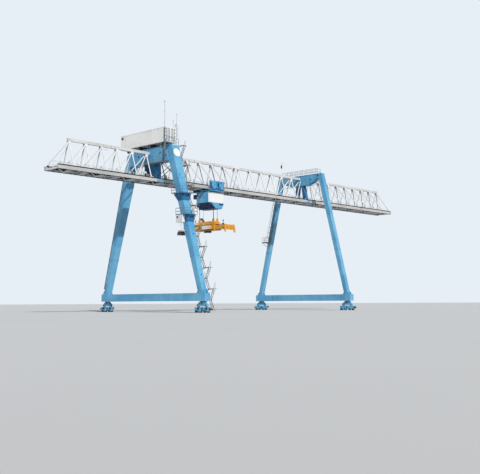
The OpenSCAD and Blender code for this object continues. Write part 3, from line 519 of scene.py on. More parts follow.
class Bench:
    """One piece on the bench: primitives are added in edit mode and finished together."""

    def __init__(self, name: str) -> None:
        """Starts an empty piece.

        Args:
            name: the piece's name.
        """
        self.piece = bpy.data.objects.new(name, bpy.data.meshes.new(name))
        bpy.context.collection.objects.link(self.piece)

    def _take(self) -> None:
        """Makes the piece the active one, in object mode."""
        deselect()
        bpy.context.view_layer.objects.active = self.piece
        self.piece.select_set(True)

    def _fresh(self) -> None:
        """Opens the piece in edit mode and deselects what is already in it."""
        if bpy.context.edit_object != self.piece:
            self._take()
            bpy.ops.object.mode_set(mode="EDIT")
        bpy.ops.mesh.select_all(action="DESELECT")

    def box(self, low: Triple, high: Triple) -> None:
        """Adds a box by two corners.

        Args:
            low: one corner.
            high: the opposite corner.
        """
        self._fresh()
        a, b = Vector(low), Vector(high)
        bpy.ops.mesh.primitive_cube_add(size=1, location=(a + b) / 2, scale=[abs(x) for x in (b - a)])

    def rod(self, a: Triple, b: Triple, width: float, sides: int, tip: float | None = None) -> None:
        """Adds a round bar or a cone between two points.

        Args:
            a: start.
            b: end.
            width: diameter at the start.
            sides: number of sides.
            tip: diameter at the end, if it differs.
        """
        self._fresh()
        p, q = Vector(a), Vector(b)
        bpy.ops.mesh.primitive_cone_add(
            vertices=sides, radius1=width / 2, radius2=(width if tip is None else tip) / 2,
            depth=(q - p).length, location=(p + q) / 2, rotation=(q - p).to_track_quat("Z", "Y").to_euler(),
        )

    def flat_bar(self, a: Triple, b: Triple, wide: float, thick: float, face: Triple = (0, 0, 1)) -> None:
        """Adds a rectangular bar between two points.

        Args:
            a: start.
            b: end.
            wide: width across the bar.
            thick: thickness along the face's direction.
            face: direction that the flat side points to.
        """
        self._fresh()
        p, q = Vector(a), Vector(b)
        along = (q - p).normalized()
        side = along.cross(Vector(face)).normalized()
        up = side.cross(along)
        turn = Matrix((along, side, up)).transposed()
        bpy.ops.mesh.primitive_cube_add(
            size=1, location=(p + q) / 2, scale=((q - p).length, wide, thick), rotation=turn.to_euler()
        )

    def frame_in(self, low: Triple, high: Triple, rim: float, depth: float, normal: Triple) -> None:
        """Adds a box whose outer face is inset and pushed in, as a panel or door.

        Args:
            low: one corner.
            high: the opposite corner.
            rim: width of the rim.
            depth: how far the field lies behind the rim.
            normal: direction of the face that is pushed in.
        """
        self.box(low, high)
        self.pick(normal)
        bpy.ops.mesh.inset(thickness=rim, depth=0)
        bpy.ops.transform.translate(value=[-depth * x for x in normal])

    def pick(self, normal: Triple) -> Vector:
        """Keeps only the selected faces that point a given way.

        Args:
            normal: the direction.

        Returns:
            The middle of those faces.
        """
        bpy.ops.mesh.select_mode(type="FACE")
        bpy.ops.object.mode_set(mode="OBJECT")
        way, middles, kept = Vector(normal), [], set()
        mesh = self.piece.data
        for face in mesh.polygons:
            face.select = face.select and face.normal.dot(way) > 0.9
            if face.select:
                middles.append(face.center.copy())
                kept.update(face.vertices)
        mesh.vertices.foreach_set("select", [v in kept for v in range(len(mesh.vertices))])
        for edge in mesh.edges:
            edge.select = edge.vertices[0] in kept and edge.vertices[1] in kept
        bpy.ops.object.mode_set(mode="EDIT")
        return sum(middles, Vector()) / max(len(middles), 1)

    def shape(self, normal: Triple, scale: Triple, shift: Triple = (0, 0, 0)) -> None:
        """Scales and shifts one face of the primitive just added, to taper it.

        Args:
            normal: direction that the face points to.
            scale: scale along each axis.
            shift: shift after the scaling.
        """
        middle = self.pick(normal)
        bpy.ops.transform.resize(value=scale, center_override=middle)
        if any(shift):
            bpy.ops.transform.translate(value=shift)

    def ring(self, centre: Triple, axis: Triple, radius: float, width: float,
             segments: int = 24) -> None:
        """Adds a ring of round bar.

        Args:
            centre: its middle.
            axis: direction of its axis.
            radius: radius of the bar's centre line.
            width: diameter of the bar.
            segments: segments round the ring.
        """
        self._fresh()
        bpy.ops.mesh.primitive_torus_add(
            major_segments=segments, minor_segments=6, major_radius=radius, minor_radius=width / 2,
            location=Vector(centre), rotation=Vector(axis).to_track_quat("Z", "Y").to_euler(),
        )

    def strands(self) -> None:
        """Finishes the piece as ropes in place of the CAD's hoist ropes, which it hides.
        """
        self._take()
        bpy.ops.object.shade_smooth_by_angle(angle=math.radians(60))
        self.piece.data.materials.append(Paints.get(Finish.ROPE_STEEL))
        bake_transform(self.piece)
        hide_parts("hoist_ropes")
        self.piece.select_set(False)

    def done(self, finish: Finish, bevel: float = 0.0, smooth: bool = False, segments: int = 1,
             body: Body = Body.GANTRY) -> bpy.types.Object:
        """Finishes the piece.

        Args:
            finish: its finish, whose record slot is looked up but not kept.
            bevel: width of its edges' bevel.
            smooth: whether curved faces are shaded smooth.
            segments: segments of the bevel.
            body: CAD body that it rides on.

        Returns:
            The piece.
        """
        self._take()
        if bevel:
            rounding = self.piece.modifiers.new("edges", "BEVEL")
            rounding.width = bevel
            rounding.segments = segments
            rounding.limit_method = "ANGLE"
            bpy.ops.object.modifier_apply(modifier=rounding.name)
        if smooth:
            bpy.ops.object.shade_smooth_by_angle(angle=math.radians(35))
        self.piece.data.materials.append(Paints.get(finish))
        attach(self.piece, body.value)
        finish.slot()
        self.piece.select_set(False)
        LOG.info("%s on %s: %d faces", self.piece.name, body.value, len(self.piece.data.polygons))
        return self.piece


def copies(pattern: bpy.types.Object, places: Iterable[Matrix], name: str) -> None:
    """Puts copies of a pattern at each place and joins them.

    Args:
        pattern: the piece to repeat, built round the origin.
        places: transform of each copy.
        name: name of the joined piece.
    """
    made = []
    for place in places:
        twin = pattern.copy()
        twin.data = pattern.data.copy()
        twin.data.transform(place)
        twin.parent = pattern.parent
        bpy.context.collection.objects.link(twin)
        made.append(twin)
    deselect()
    for twin in made:
        twin.select_set(True)
    bpy.context.view_layer.objects.active = made[0]
    bpy.ops.object.join()
    joined = bpy.context.view_layer.objects.active
    bpy.data.objects.remove(pattern)
    joined.name = name
    joined.select_set(False)
    LOG.info("%s: %d copies", name, len(made))


def at(x: float, y: float, z: float) -> Matrix:
    """Transform that moves to a point."""
    return Matrix.Translation((x, y, z))


# Sizes shared with the CAD part


class Way(Enum):
    """The four faces of a leg: the two that look along the girder, the outer and the inner one."""

    LOW_X = "low_x"
    HIGH_X = "high_x"
    OUT = "out"
    IN = "in"


@dataclass(frozen=True)
class Leg:
    """A sloping box leg; its sizes run evenly from the foot to the top."""

    x: float
    side: int
    foot: float
    foot_y: float
    foot_w: float
    foot_t: float
    top: float
    top_y: float
    top_w: float
    top_t: float

    def _at(self, z: float, low: float, high: float) -> float:
        """Value at height z between the foot's and the top's."""
        return low + (high - low) * (z - self.foot) / (self.top - self.foot)

    def centre(self, z: float) -> float:
        """Y of the leg's centre at height z."""
        return self.side * self._at(z, self.foot_y, self.top_y)

    def half_w(self, z: float) -> float:
        """Half the width along X at height z."""
        return self._at(z, self.foot_w, self.top_w) / 2

    def half_t(self, z: float) -> float:
        """Half the thickness along Y at height z."""
        return self._at(z, self.foot_t, self.top_t) / 2

    def on(self, way: Way, z: float, across: float, out: float) -> Vector:
        """Point on one of the faces.

        Args:
            way: the face.
            z: height.
            across: place across the face, -1 to 1.
            out: distance in front of the face.

        Returns:
            The point.
        """
        y, w, t = self.centre(z), self.half_w(z), self.half_t(z)
        if way in (Way.LOW_X, Way.HIGH_X):
            s = -1 if way == Way.LOW_X else 1
            return Vector((self.x + s * (w + out), y + across * t, z))
        s = self.side if way == Way.OUT else -self.side
        return Vector((self.x + across * w, y + s * (t + out), z))

    def normal(self, way: Way) -> Vector:
        """Direction that one of the faces points to.

        Args:
            way: the face.

        Returns:
            The unit normal.
        """
        height = self.top - self.foot
        if way in (Way.LOW_X, Way.HIGH_X):
            s = -1 if way == Way.LOW_X else 1
            return Vector((s, 0, -(self.top_w - self.foot_w) / 2 / height)).normalized()
        s = 1 if way == Way.OUT else -1
        slope = (self.top_y - self.foot_y + s * (self.top_t - self.foot_t) / 2) / height
        return Vector((0, s * self.side, -s * slope)).normalized()


FIXED_X, PENDULUM_X, TROLLEY_X = -2.594, 1.5128, -1.238
FIXED = {s: Leg(FIXED_X, s, 0.32, 1.265, 0.105, 0.105, 2.85, 0.516, 0.17, 0.15) for s in (-1, 1)}
PENDULUM = {s: Leg(PENDULUM_X, s, 0.32, 1.16, 0.088, 0.088, 2.84, 0.532, 0.1, 0.1) for s in (-1, 1)}
LEGS = (*FIXED.values(), *PENDULUM.values())
CHORD_Z, CHORD_TOP, CHORD_LOW = 2.28, 2.307, 2.253
CHORD_Y, CHORD_OUT = 0.172, 0.197
WEB_TOP = 2.745
GIRDER_END = 4.661
FITTED_END = 4.6
ROPE_X, ROPE_Y = 0.05, 0.186


def panel_x(k: int) -> float:
    """X of a panel point of the girder; the first one of the top chord is 0."""
    return (k - 13.5) * 0.318 + (-0.05 if k <= 12 else 0.05)


# Sub-assemblies


@dataclass
class CadNodes:
    """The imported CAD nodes, which keep their shapes and get their finishes."""

    finishes: dict[str, Finish]

    def dress(self) -> None:
        """Gives each node the material of its slot, or its own."""
        slots = {s["node"]: Finish[s["material_slot"].upper()] for s in frame["record"]["subparts"]}
        for name, node in frame["nodes"].items():
            node.data.materials.clear()
            node.data.materials.append(Paints.get(self.finishes.get(name, slots[name])))
        LOG.info("%d CAD nodes dressed", len(frame["nodes"]))


@dataclass
class Girder:
    """Details of the lattice girder."""

    gusset: float = 0.05
    plate: float = 0.004
    joint_every: int = 3
    chain_pitch: float = 0.024
    chain_length: float = 5.6
    strap_count: int = 58
    clip_count: int = 118

    def build(self) -> None:
        """Builds gussets, chord joints, cable ways, shade plates, rail clips, kick boards and lamps."""
        self.gussets()
        self.chord_joints()
        self.cable_way()
        self.floor_plates()
        self.chord_channels()
        self.rail_clips()
        self.kick_boards()
        self.lamps()

    def gussets(self) -> None:
        """Plates where posts and diagonals meet the chords, on both sides."""
        for side, name in ((-1, "near"), (1, "far")):
            foot, head = Vector((0, side * 0.16, CHORD_TOP)), Vector((0, side * 0.012, WEB_TOP))
            up = (head - foot).normalized()
            out = Vector((0, side * up.z, -side * up.y))
            bench = Bench(f"girder_gussets_{name}")
            for k in range(-1, 29):
                x = min(max(panel_x(k), -GIRDER_END + 0.04), GIRDER_END - 0.04)
                base = Vector((x, foot.y, foot.z)) + out * 0.009
                bench.flat_bar(base, base + up * 0.034, self.gusset * 1.7, self.plate, out)
            for k in range(0, 28):
                if abs(panel_x(k) - PENDULUM_X) < 0.1:
                    continue
                base = Vector((panel_x(k), head.y, head.z)) - up * 0.05 + out * 0.009
                bench.flat_bar(base, base + up * 0.046, self.gusset, self.plate, out)
            bench.done(Finish.GREY_PAINT, 0.0006)

    def chord_joints(self) -> None:
        """Bolted flanges round the chords between the delivered lengths."""
        collar = Bench("chord_flanges")
        bolts = Bench("chord_flange_bolts")
        for k in range(1, 28, self.joint_every):
            x = panel_x(k) + 0.08
            if abs(x - FIXED_X) < 0.13 or abs(x - PENDULUM_X) < 0.09:
                x += 0.16
            for s in (-1, 1):
                y = s * CHORD_Y
                collar.box((x - 0.005, y - 0.028, CHORD_LOW - 0.0015),
                           (x + 0.005, y + 0.028, CHORD_TOP + 0.003))
                for z in (CHORD_LOW + 0.008, CHORD_Z, CHORD_TOP - 0.008):
                    bolts.rod((x - 0.009, y + s * 0.0275, z), (x + 0.009, y + s * 0.0275, z), 0.005, 6)
            collar.box((x - 0.005, -0.027, WEB_TOP - 0.004), (x + 0.005, 0.027, WEB_TOP + 0.05))
            for y in (-0.0255, 0.0255):
                for z in (WEB_TOP + 0.01, WEB_TOP + 0.037):
                    bolts.rod((x - 0.009, y, z), (x + 0.009, y, z), 0.005, 6)
        collar.done(Finish.GREY_PAINT, 0.0008)
        bolts.done(Finish.ZINC_STEEL)

    def cable_way(self) -> None:
        """Channel on the cross members with the trolley's energy chain, and pipes along the far side."""
        end = GIRDER_END - 0.02
        trough = Bench("energy_chain_trough")
        trough.box((-end, -0.128, CHORD_Z + 0.0013), (end, -0.07, CHORD_Z + 0.003))
        for y in (-0.128, -0.072):
            trough.box((-end, y, CHORD_Z + 0.0025), (end, y + 0.002, CHORD_Z + 0.023))
        trough.done(Finish.DARK_STEEL)
        link = Bench("energy_chain_link")
        link.box((-0.0105, -0.024, 0), (0.0105, 0.024, 0.016))
        link.shape((0, 0, 1), (0.8, 0.86, 1))
        pattern = link.done(Finish.CABLE_SHEATH, 0.001)
        count = int(self.chain_length / self.chain_pitch)
        places = [at(-1.2 + i * self.chain_pitch, -0.099, CHORD_Z + 0.003) for i in range(count)]
        copies(pattern, places, "energy_chain")
        pipes = Bench("girder_conduits")
        for y, dz, width in ((0.075, 0.007, 0.011), (0.09, 0.006, 0.008), (0.104, 0.007, 0.011)):
            pipes.rod((-end, y, CHORD_Z + dz), (end, y, CHORD_Z + dz), width, 8)
        pipes.done(Finish.ZINC_STEEL, smooth=True)
        clamps = Bench("conduit_clamps")
        for k in range(0, 29):
            x = (panel_x(k) + panel_x(k - 1)) / 2
            clamps.box((x - 0.006, 0.066, CHORD_Z + 0.0005), (x + 0.006, 0.112, CHORD_Z + 0.0015))
            clamps.box((x - 0.004, 0.067, CHORD_Z + 0.0015), (x + 0.004, 0.111, CHORD_Z + 0.0145))
        clamps.done(Finish.DARK_STEEL, 0.0006)

    def floor_plates(self) -> None:
        """Near-black plates beside the walkway's deck and strips under the chords, painted shade of the
        girder's underside, with cable clamps on the strips.
        """
        end = GIRDER_END - 0.01
        plates = Bench("girder_shade_plates")
        for k in range(-1, 28):
            x0, x1 = panel_x(k) + 0.004, panel_x(k + 1) - 0.004
            for s in (-1, 1):
                plates.box((x0, s * 0.0462, CHORD_Z + 0.0004), (x1, s * 0.1445, CHORD_Z + 0.0012))
        for s in (-1, 1):
            plates.box((-end, s * 0.150, CHORD_LOW - 0.0024), (end, s * 0.194, CHORD_LOW - 0.0001))
        plates.done(Finish.BLACK_FLOOR)
        clamps = Bench("chord_cable_clamps")
        for i in range(87):
            x = -4.58 + i * 0.1065
            for s in (-1, 1):
                clamps.box((x, s * 0.152, CHORD_LOW - 0.0028), (x + 0.026, s * 0.176, CHORD_LOW - 0.0022))
        clamps.done(Finish.GREY_PAINT)

    def chord_channels(self) -> None:
        """Cable channels on the bottom chords, inside the trolley's rails; their near black is partly their
        own colour and partly painted shade of the rails' shadow.
        """
        end = GIRDER_END - 0.012
        channel = Bench("chord_cable_channels")
        lids = Bench("chord_channel_straps")
        for s in (-1, 1):
            channel.box((-end, s * 0.1585, CHORD_TOP + 0.0003), (end, s * 0.1735, CHORD_TOP + 0.024))
            for i in range(self.strap_count):
                x = -FITTED_END + i * 2 * FITTED_END / (self.strap_count - 1)
                lids.box((x - 0.004, s * 0.1575, CHORD_TOP + 0.0005),
                         (x + 0.004, s * 0.1742, CHORD_TOP + 0.0248))
        channel.done(Finish.BLACK_FLOOR, 0.0008)
        lids.done(Finish.DARK_STEEL)

    def rail_clips(self) -> None:
        """Clips that hold the trolley's rails to the chords."""
        clip = Bench("rail_clip")
        clip.box((-0.006, 0, 0), (0.006, 0.009, 0.004))
        clip.shape((0, 0, 1), (0.7, 0.6, 1))
        pattern = clip.done(Finish.ZINC_STEEL)
        places = []
        for i in range(self.clip_count):
            x = -FITTED_END + i * 2 * FITTED_END / (self.clip_count - 1)
            places += [at(x, y, CHORD_TOP) for y in (-0.1835, 0.1745)]
        copies(pattern, places, "rail_clips")

    def kick_boards(self) -> None:
        """Kick boards along the walkway and a junction box in each third panel."""
        end = GIRDER_END - 0.01
        boards = Bench("walkway_kick_boards")
        for y in (-0.0445, 0.0425):
            boards.box((-end, y, CHORD_Z + 0.0045), (end, y + 0.002, CHORD_Z + 0.0185))
        boards.done(Finish.ZINC_STEEL)
        boxes = Bench("walkway_junction_boxes")
        for k in range(1, 27, 3):
            x = panel_x(k) + 0.11
            boxes.frame_in((x, -0.0545, CHORD_Z + 0.038), (x + 0.036, -0.0455, CHORD_Z + 0.078),
                           0.004, 0.0012, (0, -1, 0))
        boxes.done(Finish.WHITE_PAINT, 0.001)

    def lamps(self) -> None:
        """Lamps under the top chord and the white one on its near side at mid-span."""
        hoods = Bench("girder_lamp_hoods")
        glass = Bench("girder_lamp_glasses")
        for k in (2, 8, 15, 21, 25):
            x = panel_x(k) + 0.11
            hoods.rod((x, 0, WEB_TOP), (x, 0, WEB_TOP - 0.022), 0.006, 8)
            hoods.box((x - 0.03, -0.014, WEB_TOP - 0.036), (x + 0.03, 0.014, WEB_TOP - 0.022))
            hoods.shape((0, 0, 1), (0.7, 0.6, 1))
            glass.box((x - 0.026, -0.011, WEB_TOP - 0.0385), (x + 0.026, 0.011, WEB_TOP - 0.036))
        hoods.box((-0.598, -0.046, WEB_TOP + 0.012), (-0.543, -0.0235, WEB_TOP + 0.04))
        hoods.shape((0, -1, 0), (0.8, 1, 0.7))
        hoods.done(Finish.WHITE_PAINT, 0.0015)
        glass.done(Finish.LAMP_GLASS, 0.001)


@dataclass
class PortalLegs:
    """Details on the four legs."""

    disc: float = 0.152

    def build(self) -> None:
        """Builds joints, covers, the bare disc, the cable ladder, and the legs' feet and heads."""
        self.joints()
        self.covers()
        self.badge()
        self.cable_ladder()
        self.feet()
        self.pendulum_heads()

    def joints(self) -> None:
        """Flat straps over the legs' plate joints, with bolts."""
        straps = Bench("leg_joint_straps")
        bolts = Bench("leg_joint_bolts")
        for leg in LEGS:
            for z in (0.95, 2.28) if leg.x == FIXED_X else (1.25,):
                for way in Way:
                    a, b = leg.on(way, z - 0.02, 0, 0.001), leg.on(way, z + 0.02, 0, 0.001)
                    wide = 2 * (leg.half_t(z) if way in (Way.LOW_X, Way.HIGH_X) else leg.half_w(z)) - 0.012
                    normal = leg.normal(way)
                    straps.flat_bar(a, b, wide, 0.0035, normal)
                    for h in (-0.012, 0.012):
                        for i in range(-2, 3):
                            p = leg.on(way, z + h, i * 0.38, 0.001)
                            bolts.rod(p, p + normal * 0.0055, 0.005, 6)
        straps.done(Finish.BLUE_PAINT, 0.0006)
        bolts.done(Finish.ZINC_STEEL)

    def covers(self) -> None:
        """Round inspection covers on the near fixed leg and step irons on all legs."""
        covers = Bench("leg_inspection_covers")
        knobs = Bench("leg_step_irons")
        leg = FIXED[-1]
        for z, across in ((2.325, -0.45), (1.30, 0.0), (0.62, 0.0)):
            p = leg.on(Way.OUT, z, across, 0.0005)
            n = leg.normal(Way.OUT)
            covers.rod(p, p + n * 0.004, 0.034, 20)
            knobs.rod(p + n * 0.004, p + n * 0.0075, 0.018, 12)
        for leg in LEGS:
            for i in range(5):
                z = 0.36 + i * 0.035
                a, b = leg.on(Way.LOW_X, z, 0.1, 0.008), leg.on(Way.LOW_X, z, 0.5, 0.008)
                knobs.rod(a, b, 0.0035, 6)
                for p in (a, b):
                    knobs.rod(p, p + Vector((0.009, 0, 0)), 0.0035, 6)
        covers.done(Finish.BLUE_PAINT, 0.0006, True)
        knobs.done(Finish.DARK_STEEL, smooth=True)

    def badge(self) -> None:
        """Bare white disc on the near fixed leg's outer face."""
        leg = FIXED[-1]
        p, n = leg.on(Way.OUT, 2.715, 0.0, 0.0003), leg.normal(Way.OUT)
        plate = Bench("leg_disc")
        plate.rod(p, p + n * 0.003, self.disc, 48)
        plate.done(Finish.WHITE_PAINT, 0.0008, True)
        rim = Bench("leg_disc_rim")
        rim.ring(p + n * 0.002, n, self.disc / 2, 0.0022, 48)
        rim.done(Finish.ZINC_STEEL, smooth=True)

    def cable_ladder(self) -> None:
        """Cable ladder with its cables along the far fixed leg's outer face."""
        leg = FIXED[1]
        bars = Bench("far_leg_cable_ladder")
        cables = Bench("far_leg_cables")
        n = leg.normal(Way.OUT)
        low, high = 0.42, 2.52
        for across in (-0.75, -0.05):
            bars.flat_bar(leg.on(Way.OUT, low, across, 0.032), leg.on(Way.OUT, high, across, 0.032),
                          0.014, 0.003, (1, 0, 0))
        for i in range(36):
            z = low + (high - low) * (i + 0.5) / 36
            bars.rod(leg.on(Way.OUT, z, -0.75, 0.032), leg.on(Way.OUT, z, -0.05, 0.032), 0.005, 6)
            if i % 4 == 1:
                for across in (-0.75, -0.05):
                    p = leg.on(Way.OUT, z, across, 0.0)
                    bars.rod(p, p + n * 0.032, 0.007, 6)
        for across, width in ((-0.62, 0.012), (-0.47, 0.009), (-0.33, 0.012), (-0.2, 0.008)):
            cables.rod(leg.on(Way.OUT, low, across, 0.042), leg.on(Way.OUT, high, across, 0.042), width, 8)
        bars.done(Finish.ZINC_STEEL)
        cables.done(Finish.CABLE_SHEATH, smooth=True)

    def feet(self) -> None:
        """Stiffeners where the legs stand on the sills, and lugs at their tops."""
        ribs = Bench("leg_foot_ribs")
        for leg in LEGS:
            y = leg.centre(0.325)
            for s in (-1, 1):
                x = leg.x + s * (leg.half_w(0.33) - 0.012)
                for t in (-1, 1):
                    ribs.box((x - 0.003, y + t * (leg.half_t(0.33) + 0.001), 0.3205),
                             (x + 0.003, y + t * (leg.half_t(0.33) + 0.045), 0.375))
                    ribs.shape((0, 0, 1), (1, 0.15, 1), (0, -t * 0.018, 0))
        ribs.done(Finish.BLUE_PAINT, 0.0006)
        lugs = Bench("leg_lifting_lugs")
        for leg in (FIXED[1], *PENDULUM.values()):
            y = leg.centre(leg.top) - leg.side * 0.02
            lugs.box((leg.x - 0.004, y - 0.018, leg.top - 0.001), (leg.x + 0.004, y + 0.018, leg.top + 0.026))
            lugs.shape((0, 0, 1), (1, 0.4, 1))
            lugs.rod((leg.x - 0.007, y, leg.top + 0.015), (leg.x + 0.007, y, leg.top + 0.015), 0.012, 12)
        lugs.done(Finish.BLUE_PAINT, 0.0006)

    def pendulum_heads(self) -> None:
        """Joint plates with pins where the pendulum legs meet their crossbeam, and rods to the girder."""
        plates = Bench("pendulum_joint_plates")
        pins = Bench("pendulum_joint_pins")
        for s in (-1, 1):
            for t in (-1, 1):
                x = PENDULUM_X + t * 0.0505
                y = s * 0.492
                plates.box((x, y - 0.04, 2.752), (x + t * 0.006, y + 0.04, 2.832))
                plates.shape((0, 0, -1), (1, 0.55, 1))
                pins.rod((x, y, 2.80), (x + t * 0.014, y, 2.80), 0.034, 24)
                pins.rod((x, y, 2.80), (x + t * 0.018, y, 2.80), 0.016, 6)
        plates.done(Finish.BLUE_PAINT, 0.001)
        pins.done(Finish.DARK_STEEL, 0.001, True)
        struts = Bench("pendulum_struts")
        for s in (-1, 1):
            struts.rod((PENDULUM_X - 0.03, s * 0.46, 2.70), (PENDULUM_X - 0.03, s * 0.2, 2.62), 0.012, 8)
            struts.rod((PENDULUM_X + 0.03, s * 0.46, 2.70), (PENDULUM_X + 0.03, s * 0.2, 2.62), 0.012, 8)
        struts.done(Finish.BLUE_PAINT, smooth=True)


@dataclass
class Bogies:
    """Running gear under the four corners."""

    wheel: float = 0.064
    base: float = 0.084
    pitch: float = 0.19
    motor_z: float = 0.066
    pin_z: float = 0.168

    def build(self) -> None:
        """Builds flanges, caps, drives and guards for each corner."""
        self.flanges()
        self.caps()
        self.drives()
        self.guards()

    def spots(self) -> list[tuple[float, float]]:
        """Finds the places of the wheels.

        Returns:
            X and Y of each wheel.
        """
        return [
            (leg.x, leg.side * leg.foot_y + part * self.pitch / 2 + w * self.base / 2)
            for leg in LEGS for part in (-1, 1) for w in (-1, 1)
        ]

    def flanges(self) -> None:
        """Flanges and hubs on both sides of each wheel."""
        flange = Bench("bogie_wheel")
        for s in (-1, 1):
            flange.rod((s * 0.0102, 0, 0), (s * 0.0138, 0, 0), self.wheel + 0.009, 40)
            flange.rod((s * 0.0137, 0, 0), (s * 0.0165, 0, 0), 0.044, 32, 0.036)
        pattern = flange.done(Finish.WHEEL_IRON, 0.0006, True)
        copies(pattern, [at(x, y, self.wheel / 2 + 0.0046) for x, y in self.spots()], "bogie_wheel_flanges")

    def caps(self) -> None:
        """Axle caps with their bolts on both sides of each wheel."""
        caps = Bench("bogie_axle_cap")
        for s in (-1, 1):
            caps.rod((s * 0.019, 0, 0), (s * 0.0245, 0, 0), 0.026, 24)
            caps.rod((s * 0.0245, 0, 0), (s * 0.0265, 0, 0), 0.017, 24)
            for i in range(6):
                a = math.radians(60 * i)
                y, z = 0.0102 * math.cos(a), 0.0102 * math.sin(a)
                caps.rod((s * 0.0245, y, z), (s * 0.0265, y, z), 0.0028, 6)
        pattern = caps.done(Finish.DARK_STEEL, 0.0004, True)
        copies(pattern, [at(x, y, self.wheel / 2) for x, y in self.spots()], "bogie_axle_caps")

    def drives(self) -> None:
        """Motor with its gearbox at every second wheel, on the side away from the span."""
        for index, (x, y) in enumerate(self.spots()[::2]):
            s = -1 if x < 0 else 1
            gear = Bench(f"drive_gearbox_{index}")
            gear.box((x + s * 0.0195, y - 0.014, 0.018), (x + s * 0.034, y + 0.014, 0.078))
            gear.shape((0, 0, 1), (1, 0.75, 1))
            gear.rod((x + s * 0.034, y, 0.032), (x + s * 0.037, y, 0.032), 0.02, 16)
            gear.done(Finish.BLUE_PAINT, 0.002, True, 2)
            motor = Bench(f"drive_motor_{index}")
            motor.rod((x + s * 0.034, y, self.motor_z), (x + s * 0.075, y, self.motor_z), 0.025, 20)
            for i in range(7):
                q = x + s * (0.038 + i * 0.005)
                motor.rod((q, y, self.motor_z), (q + s * 0.0018, y, self.motor_z), 0.0285, 20)
            motor.rod((x + s * 0.075, y, self.motor_z), (x + s * 0.083, y, self.motor_z), 0.024, 20, 0.018)
            motor.box((x + s * 0.045, y - 0.007, 0.078), (x + s * 0.061, y + 0.007, 0.086))
            motor.done(Finish.DARK_STEEL, 0.0005, True)

    def guards(self) -> None:
        """Rail sweepers at the ends, pins in the rocking beams and plate stiffeners."""
        sweep = Bench("rail_sweepers")
        pins = Bench("equalizer_pins")
        ribs = Bench("equalizer_ribs")
        for leg in LEGS:
            y0 = leg.side * leg.foot_y
            for t in (-1, 1):
                y = y0 + t * (self.pitch / 2 + 0.0785)
                sweep.box((leg.x - 0.010, y, 0.006), (leg.x + 0.010, y + t * 0.004, 0.062))
                sweep.box((leg.x - 0.012, y, 0.003), (leg.x + 0.012, y + t * 0.007, 0.014))
                for s in (-1, 1):
                    pins.rod((leg.x + s * 0.0225, y0 + t * 0.095, 0.118),
                             (leg.x + s * 0.029, y0 + t * 0.095, 0.118), 0.018, 20)
                    ribs.box((leg.x + s * 0.0222, y0 + t * 0.05, 0.112),
                             (leg.x + s * 0.0262, y0 + t * 0.054, 0.15))
            for s in (-1, 1):
                pins.rod((leg.x + s * 0.0225, y0, self.pin_z), (leg.x + s * 0.032, y0, self.pin_z), 0.03, 24)
                pins.rod((leg.x + s * 0.032, y0, self.pin_z), (leg.x + s * 0.034, y0, self.pin_z), 0.02, 6)
        sweep.done(Finish.YELLOW_PAINT, 0.0006)
        pins.done(Finish.DARK_STEEL, 0.0006, True)
        ribs.done(Finish.BLUE_PAINT, 0.0005)


